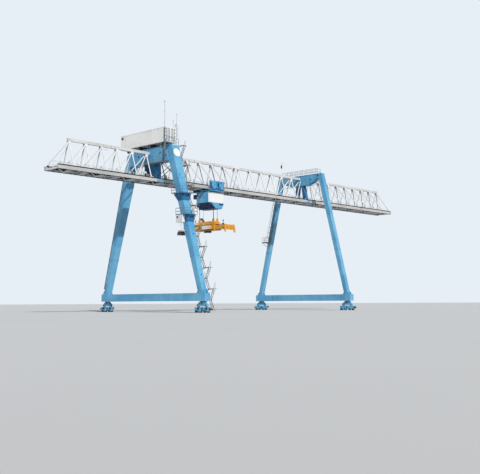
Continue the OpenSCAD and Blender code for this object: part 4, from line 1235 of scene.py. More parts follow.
@dataclass
class DriveRoom:
    """Container-size room on the fixed crossbeam."""

    low: Point = (-2.716, -0.4685, 2.916)
    high: Point = (-2.472, 0.7505, 3.175)
    rib: float = 0.0142

    def build(self) -> None:
        """Builds corrugations, corner castings, door gear, vents and the roof's ladder."""
        self.corrugations()
        self.castings()
        self.doors()
        self.vents()
        self.roof_gear()

    def corrugations(self) -> None:
        """Upright ribs on both long walls and flat ones across the roof."""
        rib = Bench("wall_rib")
        rib.box((0, -self.rib / 2, self.low[2] + 0.0165), (0.0028, self.rib / 2, self.high[2] - 0.0165))
        rib.shape((1, 0, 0), (1, 0.55, 1))
        pattern = rib.done(Finish.WHITE_PAINT)
        places = []
        for i in range(41):
            y = self.low[1] + 0.031 + i * 0.02894
            places.append(at(self.high[0] - 0.003, y, 0))
            places.append(at(self.low[0] + 0.003, y, 0) @ Matrix.Rotation(math.pi, 4, "Z"))
        copies(pattern, places, "drive_room_wall_ribs")
        roof = Bench("drive_room_roof_ribs")
        for i in range(28):
            y = self.low[1] + 0.05 + i * 0.0414
            roof.box((self.low[0] + 0.016, y - 0.011, self.high[2]),
                     (self.high[0] - 0.016, y + 0.011, self.high[2] + 0.0018))
            roof.shape((0, 0, 1), (0.98, 0.6, 1))
        roof.done(Finish.WHITE_PAINT)

    def castings(self) -> None:
        """Corner castings, with black discs of painted shade for their openings."""
        blocks = Bench("drive_room_corner_castings")
        hole_shades = Bench("corner_casting_openings_painted_shade")
        for x, sx in ((self.low[0], -1), (self.high[0], 1)):
            for y, sy in ((self.low[1], -1), (self.high[1], 1)):
                for z, sz in ((self.low[2], -1), (self.high[2], 1)):
                    blocks.box((x + sx * 0.0012, y + sy * 0.0012, z + sz * 0.0012),
                               (x - sx * 0.0165, y - sy * 0.0178, z - sz * 0.0118))
                    hole_shades.rod((x + sx * 0.0008, y - sy * 0.0085, z - sz * 0.0055),
                              (x + sx * 0.0018, y - sy * 0.0085, z - sz * 0.0055), 0.0062, 12)
                    hole_shades.rod((x - sx * 0.0085, y + sy * 0.0008, z - sz * 0.0055),
                              (x - sx * 0.0085, y + sy * 0.0018, z - sz * 0.0055), 0.0062, 12)
        blocks.done(Finish.WHITE_PAINT, 0.001)
        hole_shades.done(Finish.BLACK_PAINT)

    def doors(self) -> None:
        """Door leaves with locking bars, handles, hinges and a seal on both ends."""
        bars = Bench("drive_room_door_bars")
        seal = Bench("drive_room_door_seals")
        leaves = Bench("drive_room_door_leaves")
        middle = (self.low[0] + self.high[0]) / 2
        low, high = self.low[2], self.high[2]
        for y, s in ((self.low[1], -1), (self.high[1], 1)):
            for t in (-1, 1):
                leaves.box((middle + t * 0.0022, y - s * 0.0036, low + 0.0175),
                           (middle + t * 0.1045, y - s * 0.0020, high - 0.0175))
            for x in (-0.088, -0.035, 0.035, 0.088):
                p = middle + x
                grip = p + (0.03 if x < 0 else -0.03)
                bars.rod((p, y - s * 0.0005, low + 0.018), (p, y - s * 0.0005, high - 0.018), 0.005, 8)
                for z in (0.03, 0.09, 0.165, 0.228):
                    bars.box((p - 0.006, y - s * 0.003, low + z),
                             (p + 0.006, y + s * 0.0025, low + z + 0.007))
                bars.box((p - 0.003, y + s * 0.001, low + 0.095), (grip, y + s * 0.004, low + 0.1))
            for x in (-0.108, 0.108):
                for z in (0.035, 0.1, 0.16, 0.22):
                    bars.box((middle + x - 0.006, y - s * 0.002, low + z),
                             (middle + x + 0.006, y + s * 0.0022, low + z + 0.012))
            seal.box((middle - 0.0016, y - s * 0.0045, low + 0.016),
                     (middle + 0.0016, y - s * 0.0012, high - 0.016))
        bars.done(Finish.ZINC_STEEL, smooth=True)
        leaves.done(Finish.DOOR_PAINT, 0.0004)
        seal.done(Finish.CABLE_SHEATH)

    def vents(self) -> None:
        """Louvred vents: one on the wall at low X and three on the wall at high X."""
        frames = Bench("drive_room_vent_frames")
        slats = Bench("drive_room_vent_slats")
        low_wall, high_wall = (self.low[0], -1), (self.high[0], 1)
        for (x, s), y, z, w, h in ((low_wall, 0.680, 3.108, 0.05, 0.036), (high_wall, 0.1, 2.94, 0.06, 0.04),
                                   (high_wall, 0.45, 3.0, 0.12, 0.08), (high_wall, -0.1, 3.0, 0.12, 0.08)):
            frames.frame_in((x, y, z), (x + s * 0.003, y + w, z + h), 0.004, 0.002, (s, 0, 0))
            n = int(h / 0.007)
            for i in range(n):
                q = z + 0.004 + i * (h - 0.008) / n
                slats.box((x + s * 0.0008, y + 0.004, q), (x + s * 0.0026, y + w - 0.004, q + 0.0036))
        frames.done(Finish.BLACK_PAINT)
        slats.done(Finish.DARK_STEEL)

    def roof_gear(self) -> None:
        """Caged ladder beside the near door up to the roof, and two rods with lamps."""
        bars = Bench("roof_ladder")
        x, y = -2.463, -0.452
        for dy in (-0.018, 0.018):
            bars.rod((x, y + dy, 2.857), (x, y + dy, 3.262), 0.0055, 8)
        for i in range(13):
            z = 2.88 + i * 0.03
            bars.rod((x, y - 0.018, z), (x, y + 0.018, z), 0.004, 6)
        for z in (2.99, 3.05, 3.11, 3.17, 3.23):
            bars.ring((x + 0.022, y, z), (0, 0, 1), 0.027, 0.0016, 20)
        for dy in (-0.02, 0.02):
            bars.rod((x + 0.045, y + dy * 0.7, 2.99), (x + 0.045, y + dy * 0.7, 3.23), 0.003, 6)
        for z in (2.93, 3.10):
            bars.rod((self.high[0], y, z), (x, y, z), 0.004, 6)
        bars.rod((x + 0.004, y - 0.022, 3.25), (x + 0.004, y - 0.022, 3.42), 0.004, 8)
        bars.rod((x - 0.05, y + 0.01, 3.176), (x - 0.05, y + 0.01, 3.31), 0.004, 8)
        bars.done(Finish.ZINC_STEEL, smooth=True)
        heads = Bench("roof_lamp_heads")
        heads.rod((x + 0.004, y - 0.022, 3.415), (x + 0.004, y - 0.022, 3.433), 0.012, 16, 0.007)
        heads.rod((x - 0.05, y + 0.01, 3.305), (x - 0.05, y + 0.01, 3.321), 0.012, 16, 0.007)
        heads.done(Finish.RED_LAMP, 0.001, True)


@dataclass(frozen=True)
class Railing:
    """Posts, a top rail, a middle rail and a kick plate."""

    height: float = 0.11
    bar: float = 0.004
    pitch: float = 0.09

    def along(self, bench: Bench, points: Sequence[Point]) -> None:
        """Adds the railing along a line of points.

        Args:
            bench: piece that takes it.
            points: corners of the railing at floor level.
        """
        for a, b in zip(points, points[1:]):
            p, q = Vector(a), Vector(b)
            n = max(1, math.ceil((q - p).length / self.pitch))
            for i in range(n + 1):
                foot = p.lerp(q, i / n)
                bench.rod(foot, foot + Vector((0, 0, self.height)), self.bar, 6)
            for h in (self.height, self.height * 0.55):
                bench.rod(p + Vector((0, 0, h)), q + Vector((0, 0, h)), self.bar, 6)
            bench.flat_bar(p + Vector((0, 0, 0.007)), q + Vector((0, 0, 0.007)), 0.0016, 0.013)


@dataclass
class FixedPortal:
    """Walkway, cabinets, lamps, masts and brackets of the fixed portal."""

    railing: Railing = Railing()
    cabin_x: float = -2.742
    cream_box: Point = (-2.50, -1.0, 1.621)
    mast_x: float = FIXED_X - 0.131
    mast_y: float = -0.465

    def build(self) -> None:
        """Builds the beam's walkway, the fittings of beams and platforms, the lamps and the masts."""
        self.beam_walkway()
        self.hanger_feet()
        self.cabinets()
        self.beam_fittings()
        self.platform_gear()
        self.floodlights()
        self.cabin_trim()
        self.stair_brackets()
        self.masts()

    def beam_walkway(self) -> None:
        """Grating walkway under the outer side of the fixed crossbeam."""
        floor = Bench("beam_walkway_floor")
        rails = Bench("beam_walkway_railing")
        y0, y1, x0, x1, z = -0.44, 0.13, FIXED_X - 0.158, FIXED_X - 0.096, 2.566
        for i in range(12):
            x = x0 + 0.003 + i * (x1 - x0 - 0.006) / 11
            floor.box((x - 0.001, y0, z - 0.004), (x + 0.001, y1, z))
        for i in range(13):
            y = y0 + i * (y1 - y0) / 12
            floor.box((x0, y - 0.0012, z - 0.0048), (x1, y + 0.0012, z - 0.0008))
        for x in (x0, x1 - 0.002):
            floor.box((x, y0, z - 0.009), (x + 0.002, y1, z + 0.001))
        for y in (-0.43, -0.24, -0.05, 0.12):
            floor.flat_bar((x0 + 0.004, y, z - 0.006), (x1 + 0.07, y, z - 0.006), 0.006, 0.006)
            floor.flat_bar((x1 + 0.05, y, z - 0.006), (x1 + 0.05, y, z + 0.025), 0.006, 0.006)
        self.railing.along(rails, [(x1, y0, z), (x0 + 0.001, y0, z), (x0 + 0.001, y1, z), (x1, y1, z)])
        floor.done(Finish.ZINC_STEEL)
        rails.done(Finish.ZINC_STEEL)

    def hanger_feet(self) -> None:
        """Foot plates where the hangers bear on the chords, and thin braces beside them."""
        plates = Bench("hanger_foot_plates")
        bolts = Bench("hanger_foot_bolts")
        for x, half in ((FIXED_X, 0.065), (PENDULUM_X, 0.05)):
            for s in (-1, 1):
                y = s * CHORD_OUT
                plates.box((x - half, y, CHORD_LOW + 0.0015), (x + half, y + s * 0.0028, CHORD_TOP - 0.0005))
                for i in range(5):
                    for z in (CHORD_LOW + 0.009, CHORD_TOP - 0.008):
                        q = x - half + 0.01 + i * (2 * half - 0.02) / 4
                        bolts.rod((q, y + s * 0.0028, z), (q, y + s * 0.0046, z), 0.006, 6)
        plates.done(Finish.BLUE_PAINT, 0.0005)
        bolts.done(Finish.ZINC_STEEL)
        braces = Bench("hanger_braces")
        for s in (-1, 1):
            braces.rod((FIXED_X - 0.04, s * 0.26, 2.588), (FIXED_X - 0.01, s * 0.565, 2.36), 0.011, 8)
            braces.rod((FIXED_X - 0.01, s * 0.53, 2.53), (FIXED_X - 0.04, s * 0.172, 2.35), 0.011, 8)
            braces.rod((FIXED_X + 0.05, s * 0.53, 2.52), (FIXED_X + 0.06, s * 0.172, 2.35), 0.011, 8)
        braces.done(Finish.DARK_STEEL, smooth=True)

    def cabinets(self) -> None:
        """Switch cabinets on the girder's walkway and chord."""
        white = Bench("switch_cabinets")
        black = Bench("switch_cabinet_doors")
        for low, high, s in (((-2.83, -0.052, 2.285), (-2.775, -0.012, 2.43), -1),
                             ((-2.45, -0.165, 2.322), (-2.41, -0.13, 2.40), -1),
                             ((1.25, 0.005, 2.285), (1.31, 0.042, 2.40), 1)):
            white.box(low, high)
            y = low[1] if s < 0 else high[1]
            black.box((low[0] + 0.006, y, low[2] + 0.01), (high[0] - 0.006, y + s * 0.0025, high[2] - 0.03))
        white.done(Finish.WHITE_PAINT, 0.0015)
        black.done(Finish.BLACK_PAINT, 0.0008)

    def beam_fittings(self) -> None:
        """Lugs, edge strips and dark fittings on both crossbeams, and the drive room's bearers."""
        lugs = Bench("crossbeam_lugs")
        dark = Bench("crossbeam_fittings")
        for x, half, low, high, ys in ((FIXED_X, 0.095, 2.59, 2.85, (-0.40, -0.15, 0.15, 0.40)),
                                       (PENDULUM_X, 0.055, 2.615, 2.84, (-0.30, 0.0, 0.30))):
            for y in ys:
                for s in (-1, 1):
                    f = x + s * half
                    lugs.box((f, y - 0.004, low + 0.03), (f + s * 0.012, y + 0.004, high - 0.03))
                    lugs.shape((s, 0, 0), (1, 1, 0.75))
            for s in (-1, 1):
                f = x + s * half
                for z in (low + 0.004, high - 0.010):
                    lugs.box((f, -0.50, z), (f + s * 0.006, 0.50, z + 0.006))
            for y in (-0.30, 0.28):
                f = x - half
                dark.rod((f, y + 0.02, high - 0.06), (f - 0.004, y + 0.02, high - 0.06), 0.016, 16)
                dark.box((f - 0.012, y - 0.02, high - 0.115), (f, y, high - 0.095))
        lugs.done(Finish.BLUE_PAINT, 0.0006)
        dark.done(Finish.DARK_STEEL, 0.0006)
        bearers = Bench("drive_room_bearers")
        for y in (-0.44, -0.20, 0.04, 0.28, 0.54, 0.72):
            bearers.box((FIXED_X - 0.106, y - 0.006, 2.9145), (FIXED_X + 0.106, y + 0.006, 2.9158))
        for y in (-0.35, 0.0, 0.35):
            for s in (-1, 1):
                bearers.flat_bar((FIXED_X + s * 0.085, y, 2.852), (FIXED_X + s * 0.108, y, 2.912),
                                 0.010, 0.006)
        bearers.done(Finish.DARK_STEEL)

    def platform_gear(self) -> None:
        """Knee braces, kick plates, and stepped corbels with a bar in mid blue painted shade for the shadow
        under the two platforms round the near leg.
        """
        leg = FIXED[-1]
        knees = Bench("platform_knee_braces")
        kicks = Bench("platform_kick_plates")
        dark = Bench("platform_corbels_painted_shade")
        step_x, step_y, step_z, lean = 0.0062, 0.0058, 0.021, 0.0031
        for z in (1.622, 1.990):
            for across in (-0.8, 0.8):
                for way, reach in ((Way.OUT, 0.085), (Way.IN, 0.035)):
                    p = leg.on(way, z - 0.075, across, 0.0)
                    q = leg.on(way, z - 0.004, across, reach)
                    knees.flat_bar(p, (q.x, q.y, z - 0.003), 0.006, 0.006, (1, 0, 0))
            low, high = leg.on(Way.OUT, z, -1, 0.0), leg.on(Way.IN, z, -1, 0.0)
            x0 = FIXED_X - 0.148
            kicks.box((x0, low.y - 0.092, z + 0.001), (x0 + 0.0018, high.y + 0.042, z + 0.014))
            kicks.box((x0, low.y - 0.092, z + 0.001), (x0 + 0.2, low.y - 0.0902, z + 0.014))
            # The stepped corbels stand for the platforms' shadow on the leg, as painted shade.
            for k in range(6):
                h = z - 0.006 - k * step_z
                y = leg.centre(h - step_z / 2) + lean
                w, t = leg.half_w(h) + 0.034 - k * step_x, leg.half_t(h) + 0.032 - k * step_y
                dark.box((FIXED_X - w, y - t, h - step_z), (FIXED_X + w, y + t, h))
                dark.shape((0, 0, -1), (1 - step_x / w, 1 - step_y / t, 1), (0, -lean, 0))
            dark.rod((x0 + 0.01, low.y - 0.07, z - 0.010), (x0 + 0.19, low.y - 0.07, z - 0.010), 0.009, 8)
        knees.done(Finish.BLUE_PAINT)
        kicks.done(Finish.ZINC_STEEL)
        dark.done(Finish.SHADE_PAINT)

    def floodlights(self) -> None:
        """Three floodlights on a braced bracket under the small cabin."""
        bracket = Bench("floodlight_bracket")
        x0, x1, top, foot = self.cabin_x + 0.010, self.cabin_x + 0.052, 1.49, 1.37
        for x in (x0, x1):
            for y in (-0.905, -0.855):
                bracket.rod((x, y, top + 0.0045), (x, y, foot - 0.008), 0.006, 8)
        for y in (-0.905, -0.855):
            bracket.rod((x0, y, top), (x1, y, foot), 0.004, 6)
            bracket.rod((x0, y, foot), (x1, y, top), 0.004, 6)
        bracket.box((self.cabin_x, -0.915, foot - 0.018), (self.cabin_x + 0.097, -0.815, foot - 0.009))
        bracket.done(Finish.WHITE_PAINT, 0.0006)
        hoods = Bench("floodlight_hoods")
        glass = Bench("floodlight_glasses")
        for i in range(3):
            x = self.cabin_x - 0.010 + i * 0.042
            hoods.box((x, -0.886, 1.278), (x + 0.038, -0.815, 1.340))
            hoods.shape((0, 0, 1), (0.75, 0.7, 1))
            hoods.rod((x + 0.019, -0.85, 1.339), (x + 0.019, -0.85, 1.353), 0.012, 8)
            glass.box((x + 0.003, -0.882, 1.276), (x + 0.035, -0.819, 1.2785))
        hoods.done(Finish.BLACK_PAINT, 0.0015)
        glass.done(Finish.LAMP_GLASS, 0.0006)

    def cabin_trim(self) -> None:
        """Windows, red lamp and panels of the small cabin, and the lid, door and struts of the cream box."""
        x0 = self.cabin_x
        x, y, z = self.cream_box
        panes = Bench("leg_cabin_windows")
        red = Bench("leg_cabin_sign_lamp")
        trim = Bench("leg_cabin_trim")
        trim.box((x0, -0.934, 1.494), (x0 + 0.058, -0.849, 1.617))
        panes.box((x0 + 0.0018, -0.8343, 1.5623), (x0 + 0.0028, -0.7887, 1.6017))
        panes.box((x0 + 0.008, -0.8497, 1.555), (x0 + 0.05, -0.8487, 1.605))
        red.box((x0 - 0.003, -0.832, 1.572), (x0 + 0.0018, -0.814, 1.600))
        for low in (1.515, 1.53):
            trim.box((x0 - 0.0015, -0.84, low), (x0, -0.783, low + 0.004))
        trim.frame_in((x0 + 0.006, -0.8503, 1.50), (x0 + 0.054, -0.8485, 1.545), 0.003, 0.001, (0, -1, 0))
        trim.box((x - 0.03, y - 0.033, z + 0.118), (x + 0.033, y + 0.03, z + 0.123))
        trim.frame_in((x - 0.0295, y - 0.0325, z + 0.019), (x + 0.032, y - 0.0306, z + 0.104),
                      0.004, 0.0012, (0, -1, 0))
        panes.done(Finish.DARK_GLASS)
        red.done(Finish.RED_LAMP, 0.001)
        trim.done(Finish.WHITE_PAINT, 0.0005)
        struts = Bench("cream_box_struts")
        for t in (-1, 1):
            struts.rod((x, y, z), (x + t * 0.03, y, z - 0.146), 0.008, 8)
        struts.rod((x - 0.032, y, z - 0.143), (x + 0.032, y, z - 0.143), 0.006, 8)
        struts.done(Finish.WHITE_PAINT, smooth=True)

    def stair_brackets(self) -> None:
        """Brackets from the leg to each landing, with their braces."""
        leg = FIXED[-1]
        foot, top, flights, run, drift = 0.04, 2.855, 16, 0.09, 0.0521
        arms = Bench("stair_brackets")
        for n in range(1, flights):
            z = foot + n * (top - foot) / flights
            y = leg.centre(foot) + (n % 2 - 0.5) * run + n * drift
            face = leg.on(Way.HIGH_X, z - 0.012, 0.0, 0.0)
            middle, reach = leg.centre(z), leg.half_t(z) - 0.01
            for dy in (-0.02, 0.02):
                q = max(min(y + dy, middle + reach), middle - reach)
                arms.flat_bar((face.x - 0.002, q, z - 0.009), (FIXED_X + 0.208, q, z - 0.009), 0.006, 0.008)
                arms.flat_bar((face.x - 0.002, q, z - 0.055), (FIXED_X + 0.134, q, z - 0.012), 0.005, 0.005)
        arms.done(Finish.ZINC_STEEL)

    def masts(self) -> None:
        """Brackets, rungs and red lamps of the mast beside the fixed crossbeam."""
        bars = Bench("mast_brackets")
        heads = Bench("mast_heads")
        x, y = self.mast_x, self.mast_y
        for z in (2.68, 2.78, 2.90, 3.02, 3.13):
            bars.box((x - 0.008, y - 0.022, z), (x + 0.008, y + 0.022, z + 0.006))
        for z in (2.68, 2.80):
            bars.flat_bar((x, y, z), (FIXED_X - 0.09, y, z), 0.008, 0.006)
        for i in range(14):
            z = 2.68 + i * 0.033
            bars.rod((x, y - 0.012, z), (x, y + 0.012, z), 0.003, 6)
        bars.done(Finish.ZINC_STEEL, 0.0004)
        for z in (3.235, 3.42):
            heads.rod((x, y, z), (x, y, z + 0.012), 0.012, 12)
        heads.rod((x, y, 3.598), (x, y, 3.615), 0.014, 16, 0.008)
        heads.done(Finish.RED_LAMP, 0.0006, True)


@dataclass
class Trolley:
    """Details of the trolley between the girder's chords."""

    x: float = TROLLEY_X
    frame_y: float = 0.233
    half: float = 0.173
    axle_z: float = 2.3443
    motor_z: float = 2.285
    ring_bolts: int = 36
    ring_radius: float = 0.1462

    def build(self) -> None:
        """Builds boxes, wheel caps, drives, posts and the slewing ring's bolts."""
        self.side_boxes()
        self.running_gear()
        self.posts()
        self.ring()

    def side_boxes(self) -> None:
        """Box stiffeners on the outer faces of the side frames; their square openings are black plates of
        painted shade, and navy strips on their ends at low X are painted shadow.
        """
        boxes = Bench("trolley_side_boxes")
        hole_shades = Bench("trolley_box_openings_painted_shade")
        shade = Bench("trolley_box_ends_painted_shade")
        ribs = Bench("trolley_frame_ribs")
        for s in (-1, 1):
            y = s * self.frame_y
            for x0, x1 in ((self.x - 0.171, self.x - 0.064), (self.x + 0.026, self.x + 0.126)):
                boxes.box((x0, y, 2.259), (x1, y + s * 0.034, 2.407))
                boxes.shape((0, 0, 1), (0.96, 0.7, 1), (0, -s * 0.004, 0))
                hole_shades.box((x0 + 0.006, y + s * 0.034, 2.27), (x0 + 0.036, y + s * 0.0348, 2.296))
                shade.box((x0 - 0.0008, y + s * 0.001, 2.262), (x0 - 0.0001, y + s * 0.0328, 2.372))
            hole_shades.box((self.x + 0.06, y + s * 0.028, 2.372), (self.x + 0.088, y + s * 0.0318, 2.398))
            for dx in (-0.054, -0.014, 0.006, 0.138, 0.168):
                ribs.box((self.x + dx - 0.002, y, 2.224), (self.x + dx + 0.002, y + s * 0.016, 2.405))
            ribs.box((self.x - self.half, y, 2.219), (self.x + self.half, y + s * 0.02, 2.226))
            ribs.box((self.x - self.half, y, 2.252), (self.x + self.half, y + s * 0.014, 2.257))
            for dx in (-0.152, -0.102, 0.048, 0.098, 0.148):
                ribs.rod((self.x + dx, y, 2.238), (self.x + dx, y + s * 0.004, 2.238), 0.008, 6)
        boxes.done(Finish.BLUE_PAINT, 0.0015, body=Body.TROLLEY)
        hole_shades.done(Finish.BLACK_PAINT, body=Body.TROLLEY)
        # Navy strips on the far side frame's end at low X: painted shadow of the girder.
        shade.box((self.x - 0.1785, 0.04, 2.2195), (self.x - 0.1755, 0.232, 2.2475))
        shade.box((self.x - 0.1785, 0.2095, 2.2475), (self.x - 0.1755, 0.2325, 2.405))
        shade.done(Finish.NAVY_PAINT, body=Body.TROLLEY)
        ribs.done(Finish.BLUE_PAINT, body=Body.TROLLEY)

    def running_gear(self) -> None:
        """Axle caps and a geared motor on each side."""
        caps = Bench("trolley_axle_caps")
        motors = Bench("trolley_motors")
        for s in (-1, 1):
            for x in (self.x - 0.0905, self.x + 0.0905):
                y = s * self.frame_y
                caps.rod((x, y - s * 0.002, self.axle_z), (x, y + s * 0.037, self.axle_z), 0.028, 20)
                caps.rod((x, y + s * 0.037, self.axle_z), (x, y + s * 0.040, self.axle_z), 0.014, 6)
            x, y = self.x - 0.02, s * (self.frame_y + 0.016)
            motors.rod((x - 0.035, y, self.motor_z), (x + 0.025, y, self.motor_z), 0.022, 20)
            for i in range(8):
                q = x - 0.032 + i * 0.006
                motors.rod((q, y, self.motor_z), (q + 0.002, y, self.motor_z), 0.026, 20)
            motors.box((x + 0.008, y - s * 0.014, 2.272), (x + 0.03, y + s * 0.012, 2.302))
        caps.done(Finish.BLUE_PAINT, 0.0006, True, body=Body.TROLLEY)
        motors.done(Finish.BLUE_PAINT, 0.0006, True, body=Body.TROLLEY)

    def posts(self) -> None:
        """White lamp posts at the trolley's ends, with its service steps."""
        white = Bench("trolley_lamp_posts")
        steps = Bench("trolley_service_steps")
        for x, top in ((self.x - 0.214, 2.52), (self.x + 0.212, 2.47)):
            for s in (-1, 1):
                y = s * 0.235
                white.rod((x, y, 2.30), (x, y, top), 0.009, 10)
                white.rod((x, y, top), (x, y, top + 0.016), 0.020, 14, 0.012)
                white.box((x - 0.012, y - 0.010, top - 0.05), (x + 0.012, y + 0.010, top - 0.02))
                inner = self.x + math.copysign(self.half, x - self.x)
                for z in (2.31, 2.38):
                    steps.flat_bar((x, y, z), (inner, s * 0.225, z), 0.01, 0.006)
        white.done(Finish.WHITE_PAINT, 0.001, True, body=Body.TROLLEY)
        for s in (-1, 1):
            for x0, x1 in ((self.x - 0.217, self.x - 0.176), (self.x + 0.176, self.x + 0.216)):
                steps.box((x0, s * 0.21, 2.2205), (x1, s * 0.262, 2.2245))
        steps.done(Finish.ZINC_STEEL, body=Body.TROLLEY)

    def ring(self) -> None:
        """Bolts round the trolley's half of the slewing ring."""
        bolt = Bench("ring_bolt")
        bolt.rod((0, 0, 0), (0, 0, -0.0035), 0.0065, 6)
        pattern = bolt.done(Finish.ZINC_STEEL, body=Body.TROLLEY)
        places = []
        for i in range(self.ring_bolts):
            a = math.tau * (i + 0.5) / self.ring_bolts
            places.append(at(self.x + self.ring_radius * math.cos(a), self.ring_radius * math.sin(a), 2.2485))
        copies(pattern, places, "slewing_ring_bolts")


@dataclass
class MachineHouse:
    """Details of the slewing machine house."""

    west: float = TROLLEY_X - 0.203
    east: float = TROLLEY_X + 0.203
    south: float = -0.203
    low: float = 2.0087
    keel: float = 1.9037

    def build(self) -> None:
        """Builds the walls' strips, the keel's plate, louvres, the rear part and the rope outlets."""
        self.walls()
        self.keel_front()
        self.louvres()
        self.rear()
        self.rope_guides()

    def walls(self) -> None:
        """Skirting, corner strips and joint strips on the walls."""
        strips = Bench("house_wall_strips")
        w, e, s = self.west, self.east, self.south
        strips.box((w - 0.002, s - 0.002, self.low - 0.003), (w + 0.010, 0.07, self.low + 0.006))
        strips.box((e - 0.010, s - 0.002, self.low - 0.003), (e + 0.002, 0.07, self.low + 0.006))
        strips.box((w - 0.002, s - 0.002, self.low - 0.003), (e + 0.002, s + 0.010, self.low + 0.0038))
        for y in (-0.12, -0.03, 0.058):
            for x, t in ((w, -1), (e, 1)):
                top = 2.16 if y > 0 else 2.198
                strips.box((x, y - 0.004, self.low + 0.006), (x + t * 0.002, y + 0.004, top))
        for x in (w, e - 0.007):
            strips.box((x - 0.0008, s - 0.0015, self.low), (x + 0.0078, s + 0.004, 2.2045))
        strips.box((w + 0.004, s - 0.0015, 2.2008), (e - 0.004, s + 0.006, 2.2046))
        strips.done(Finish.HOUSE_PAINT, 0.0005, body=Body.PLATFORM)

    def keel_front(self) -> None:
        """Plate in the plain blue paint on the keel's front, with a navy band of painted shadow under the
        front panel, and ribs in the keel's navy painted shade on its sloping side.
        """
        plate = Bench("keel_front_plate")
        s = self.south
        plate.box((TROLLEY_X - 0.122, s - 0.0045, self.keel + 0.001),
                  (self.east, s - 0.0005, self.low - 0.0032))
        plate.shape((0, 0, -1), (0.508, 1, 1), (0.0275, 0, 0))
        plate.done(Finish.BLUE_PAINT, 0.0006, body=Body.PLATFORM)
        slot = Bench("keel_front_painted_shadow")
        slot.box((TROLLEY_X + 0.073, s - 0.0062, 1.972), (TROLLEY_X + 0.188, s - 0.0046, 2.000))
        slot.shape((0, 0, -1), (0.8, 1, 1))
        slot.done(Finish.NAVY_PAINT, body=Body.PLATFORM)
        ribs = Bench("keel_ribs")
        for y in (-0.15, -0.075, 0.0, 0.075):
            ribs.flat_bar((self.west + 0.01, y, self.low - 0.004), (TROLLEY_X - 0.018, y, self.keel + 0.002),
                          0.005, 0.007, (-0.5, 0, -0.9))
        ribs.done(Finish.NAVY_PAINT, body=Body.PLATFORM)

    def louvres(self) -> None:
        """Louvres and a door with its handle on each of the two side walls."""
        frames = Bench("house_louvre_frames")
        slats = Bench("house_louvre_slats")
        for x, t in ((self.west, -1), (self.east, 1)):
            for y in (-0.108, 0.0):
                frames.frame_in((x, y, 2.085), (x + t * 0.003, y + 0.05, 2.145), 0.004, 0.002, (t, 0, 0))
                for i in range(8):
                    z = 2.090 + i * 0.0064
                    slats.box((x + t * 0.0008, y + 0.005, z), (x + t * 0.0026, y + 0.045, z + 0.0034))
            frames.frame_in((x, -0.19, 2.03), (x + t * 0.003, -0.135, 2.16), 0.003, 0.0012, (t, 0, 0))
            slats.box((x + t * 0.003, -0.145, 2.085), (x + t * 0.006, -0.141, 2.10))
        frames.done(Finish.BLUE_PAINT, 0.0005, body=Body.PLATFORM)
        slats.done(Finish.BLUE_PAINT, body=Body.PLATFORM)

    def rear(self) -> None:
        """Ducts over the sloping rear roof in navy, painted shade where the girder's shadow falls, and the
        rear cabinet's fittings.
        """
        dark = Bench("house_rear_ducts_painted_shade")
        dark.box((TROLLEY_X - 0.154, 0.06, 2.128), (TROLLEY_X + 0.154, 0.19, 2.2035))
        dark.shape((0, 1, 0), (0.8, 1, 0.8), (0, 0, 0.006))
        for x in (TROLLEY_X - 0.062, TROLLEY_X, TROLLEY_X + 0.062):
            dark.rod((x, 0.16, 2.15), (x, 0.235, 2.20), 0.03, 16)
        dark.done(Finish.NAVY_PAINT, 0.003, body=Body.PLATFORM)
        trim = Bench("rear_cabinet_fittings")
        for i in range(8):
            x = TROLLEY_X - 0.08 + i * 0.0162
            trim.box((x, 0.3125, 2.128), (x + 0.009, 0.3145, 2.178))
        trim.box((TROLLEY_X - 0.092, 0.194, 2.1925), (TROLLEY_X + 0.052, 0.315, 2.1955))
        trim.done(Finish.BLUE_PAINT, 0.0005, body=Body.PLATFORM)

    def rope_guides(self) -> None:
        """Rings round the rope outlets under the keel, higher on its sloping side."""
        guides = Bench("rope_outlets")
        for s in (-1, 1):
            for x, z in ((TROLLEY_X - ROPE_X, self.keel + 0.024), (TROLLEY_X + ROPE_X, self.keel)):
                guides.ring((x, s * ROPE_Y, z - 0.003), (0, 0, 1), 0.0085, 0.0025, 20)
        guides.done(Finish.DARK_STEEL, smooth=True, body=Body.PLATFORM)


@dataclass
class HoistRopes:
    """Rope falls from the slewing platform to the headblock."""

    top: float = 1.9034
    low: float = 1.707

    def build(self) -> None:
        """Builds rope strands in place of the CAD's straight rods, which it hides."""
        bench = Bench("rope_falls")
        for s in (-1, 1):
            thin = 1.0 if s < 0 else 0.6
            for x, count, width, gap in ((TROLLEY_X - ROPE_X, 3, 0.0044 * thin, 0.0054),
                                         (TROLLEY_X + ROPE_X, 2, 0.0032 * thin, 0.0056)):
                for i in range(count):
                    y = s * ROPE_Y + (i - (count - 1) / 2) * gap
                    bench.rod((x, y, self.low), (x, y, self.top), width, 8)
        bench.strands()


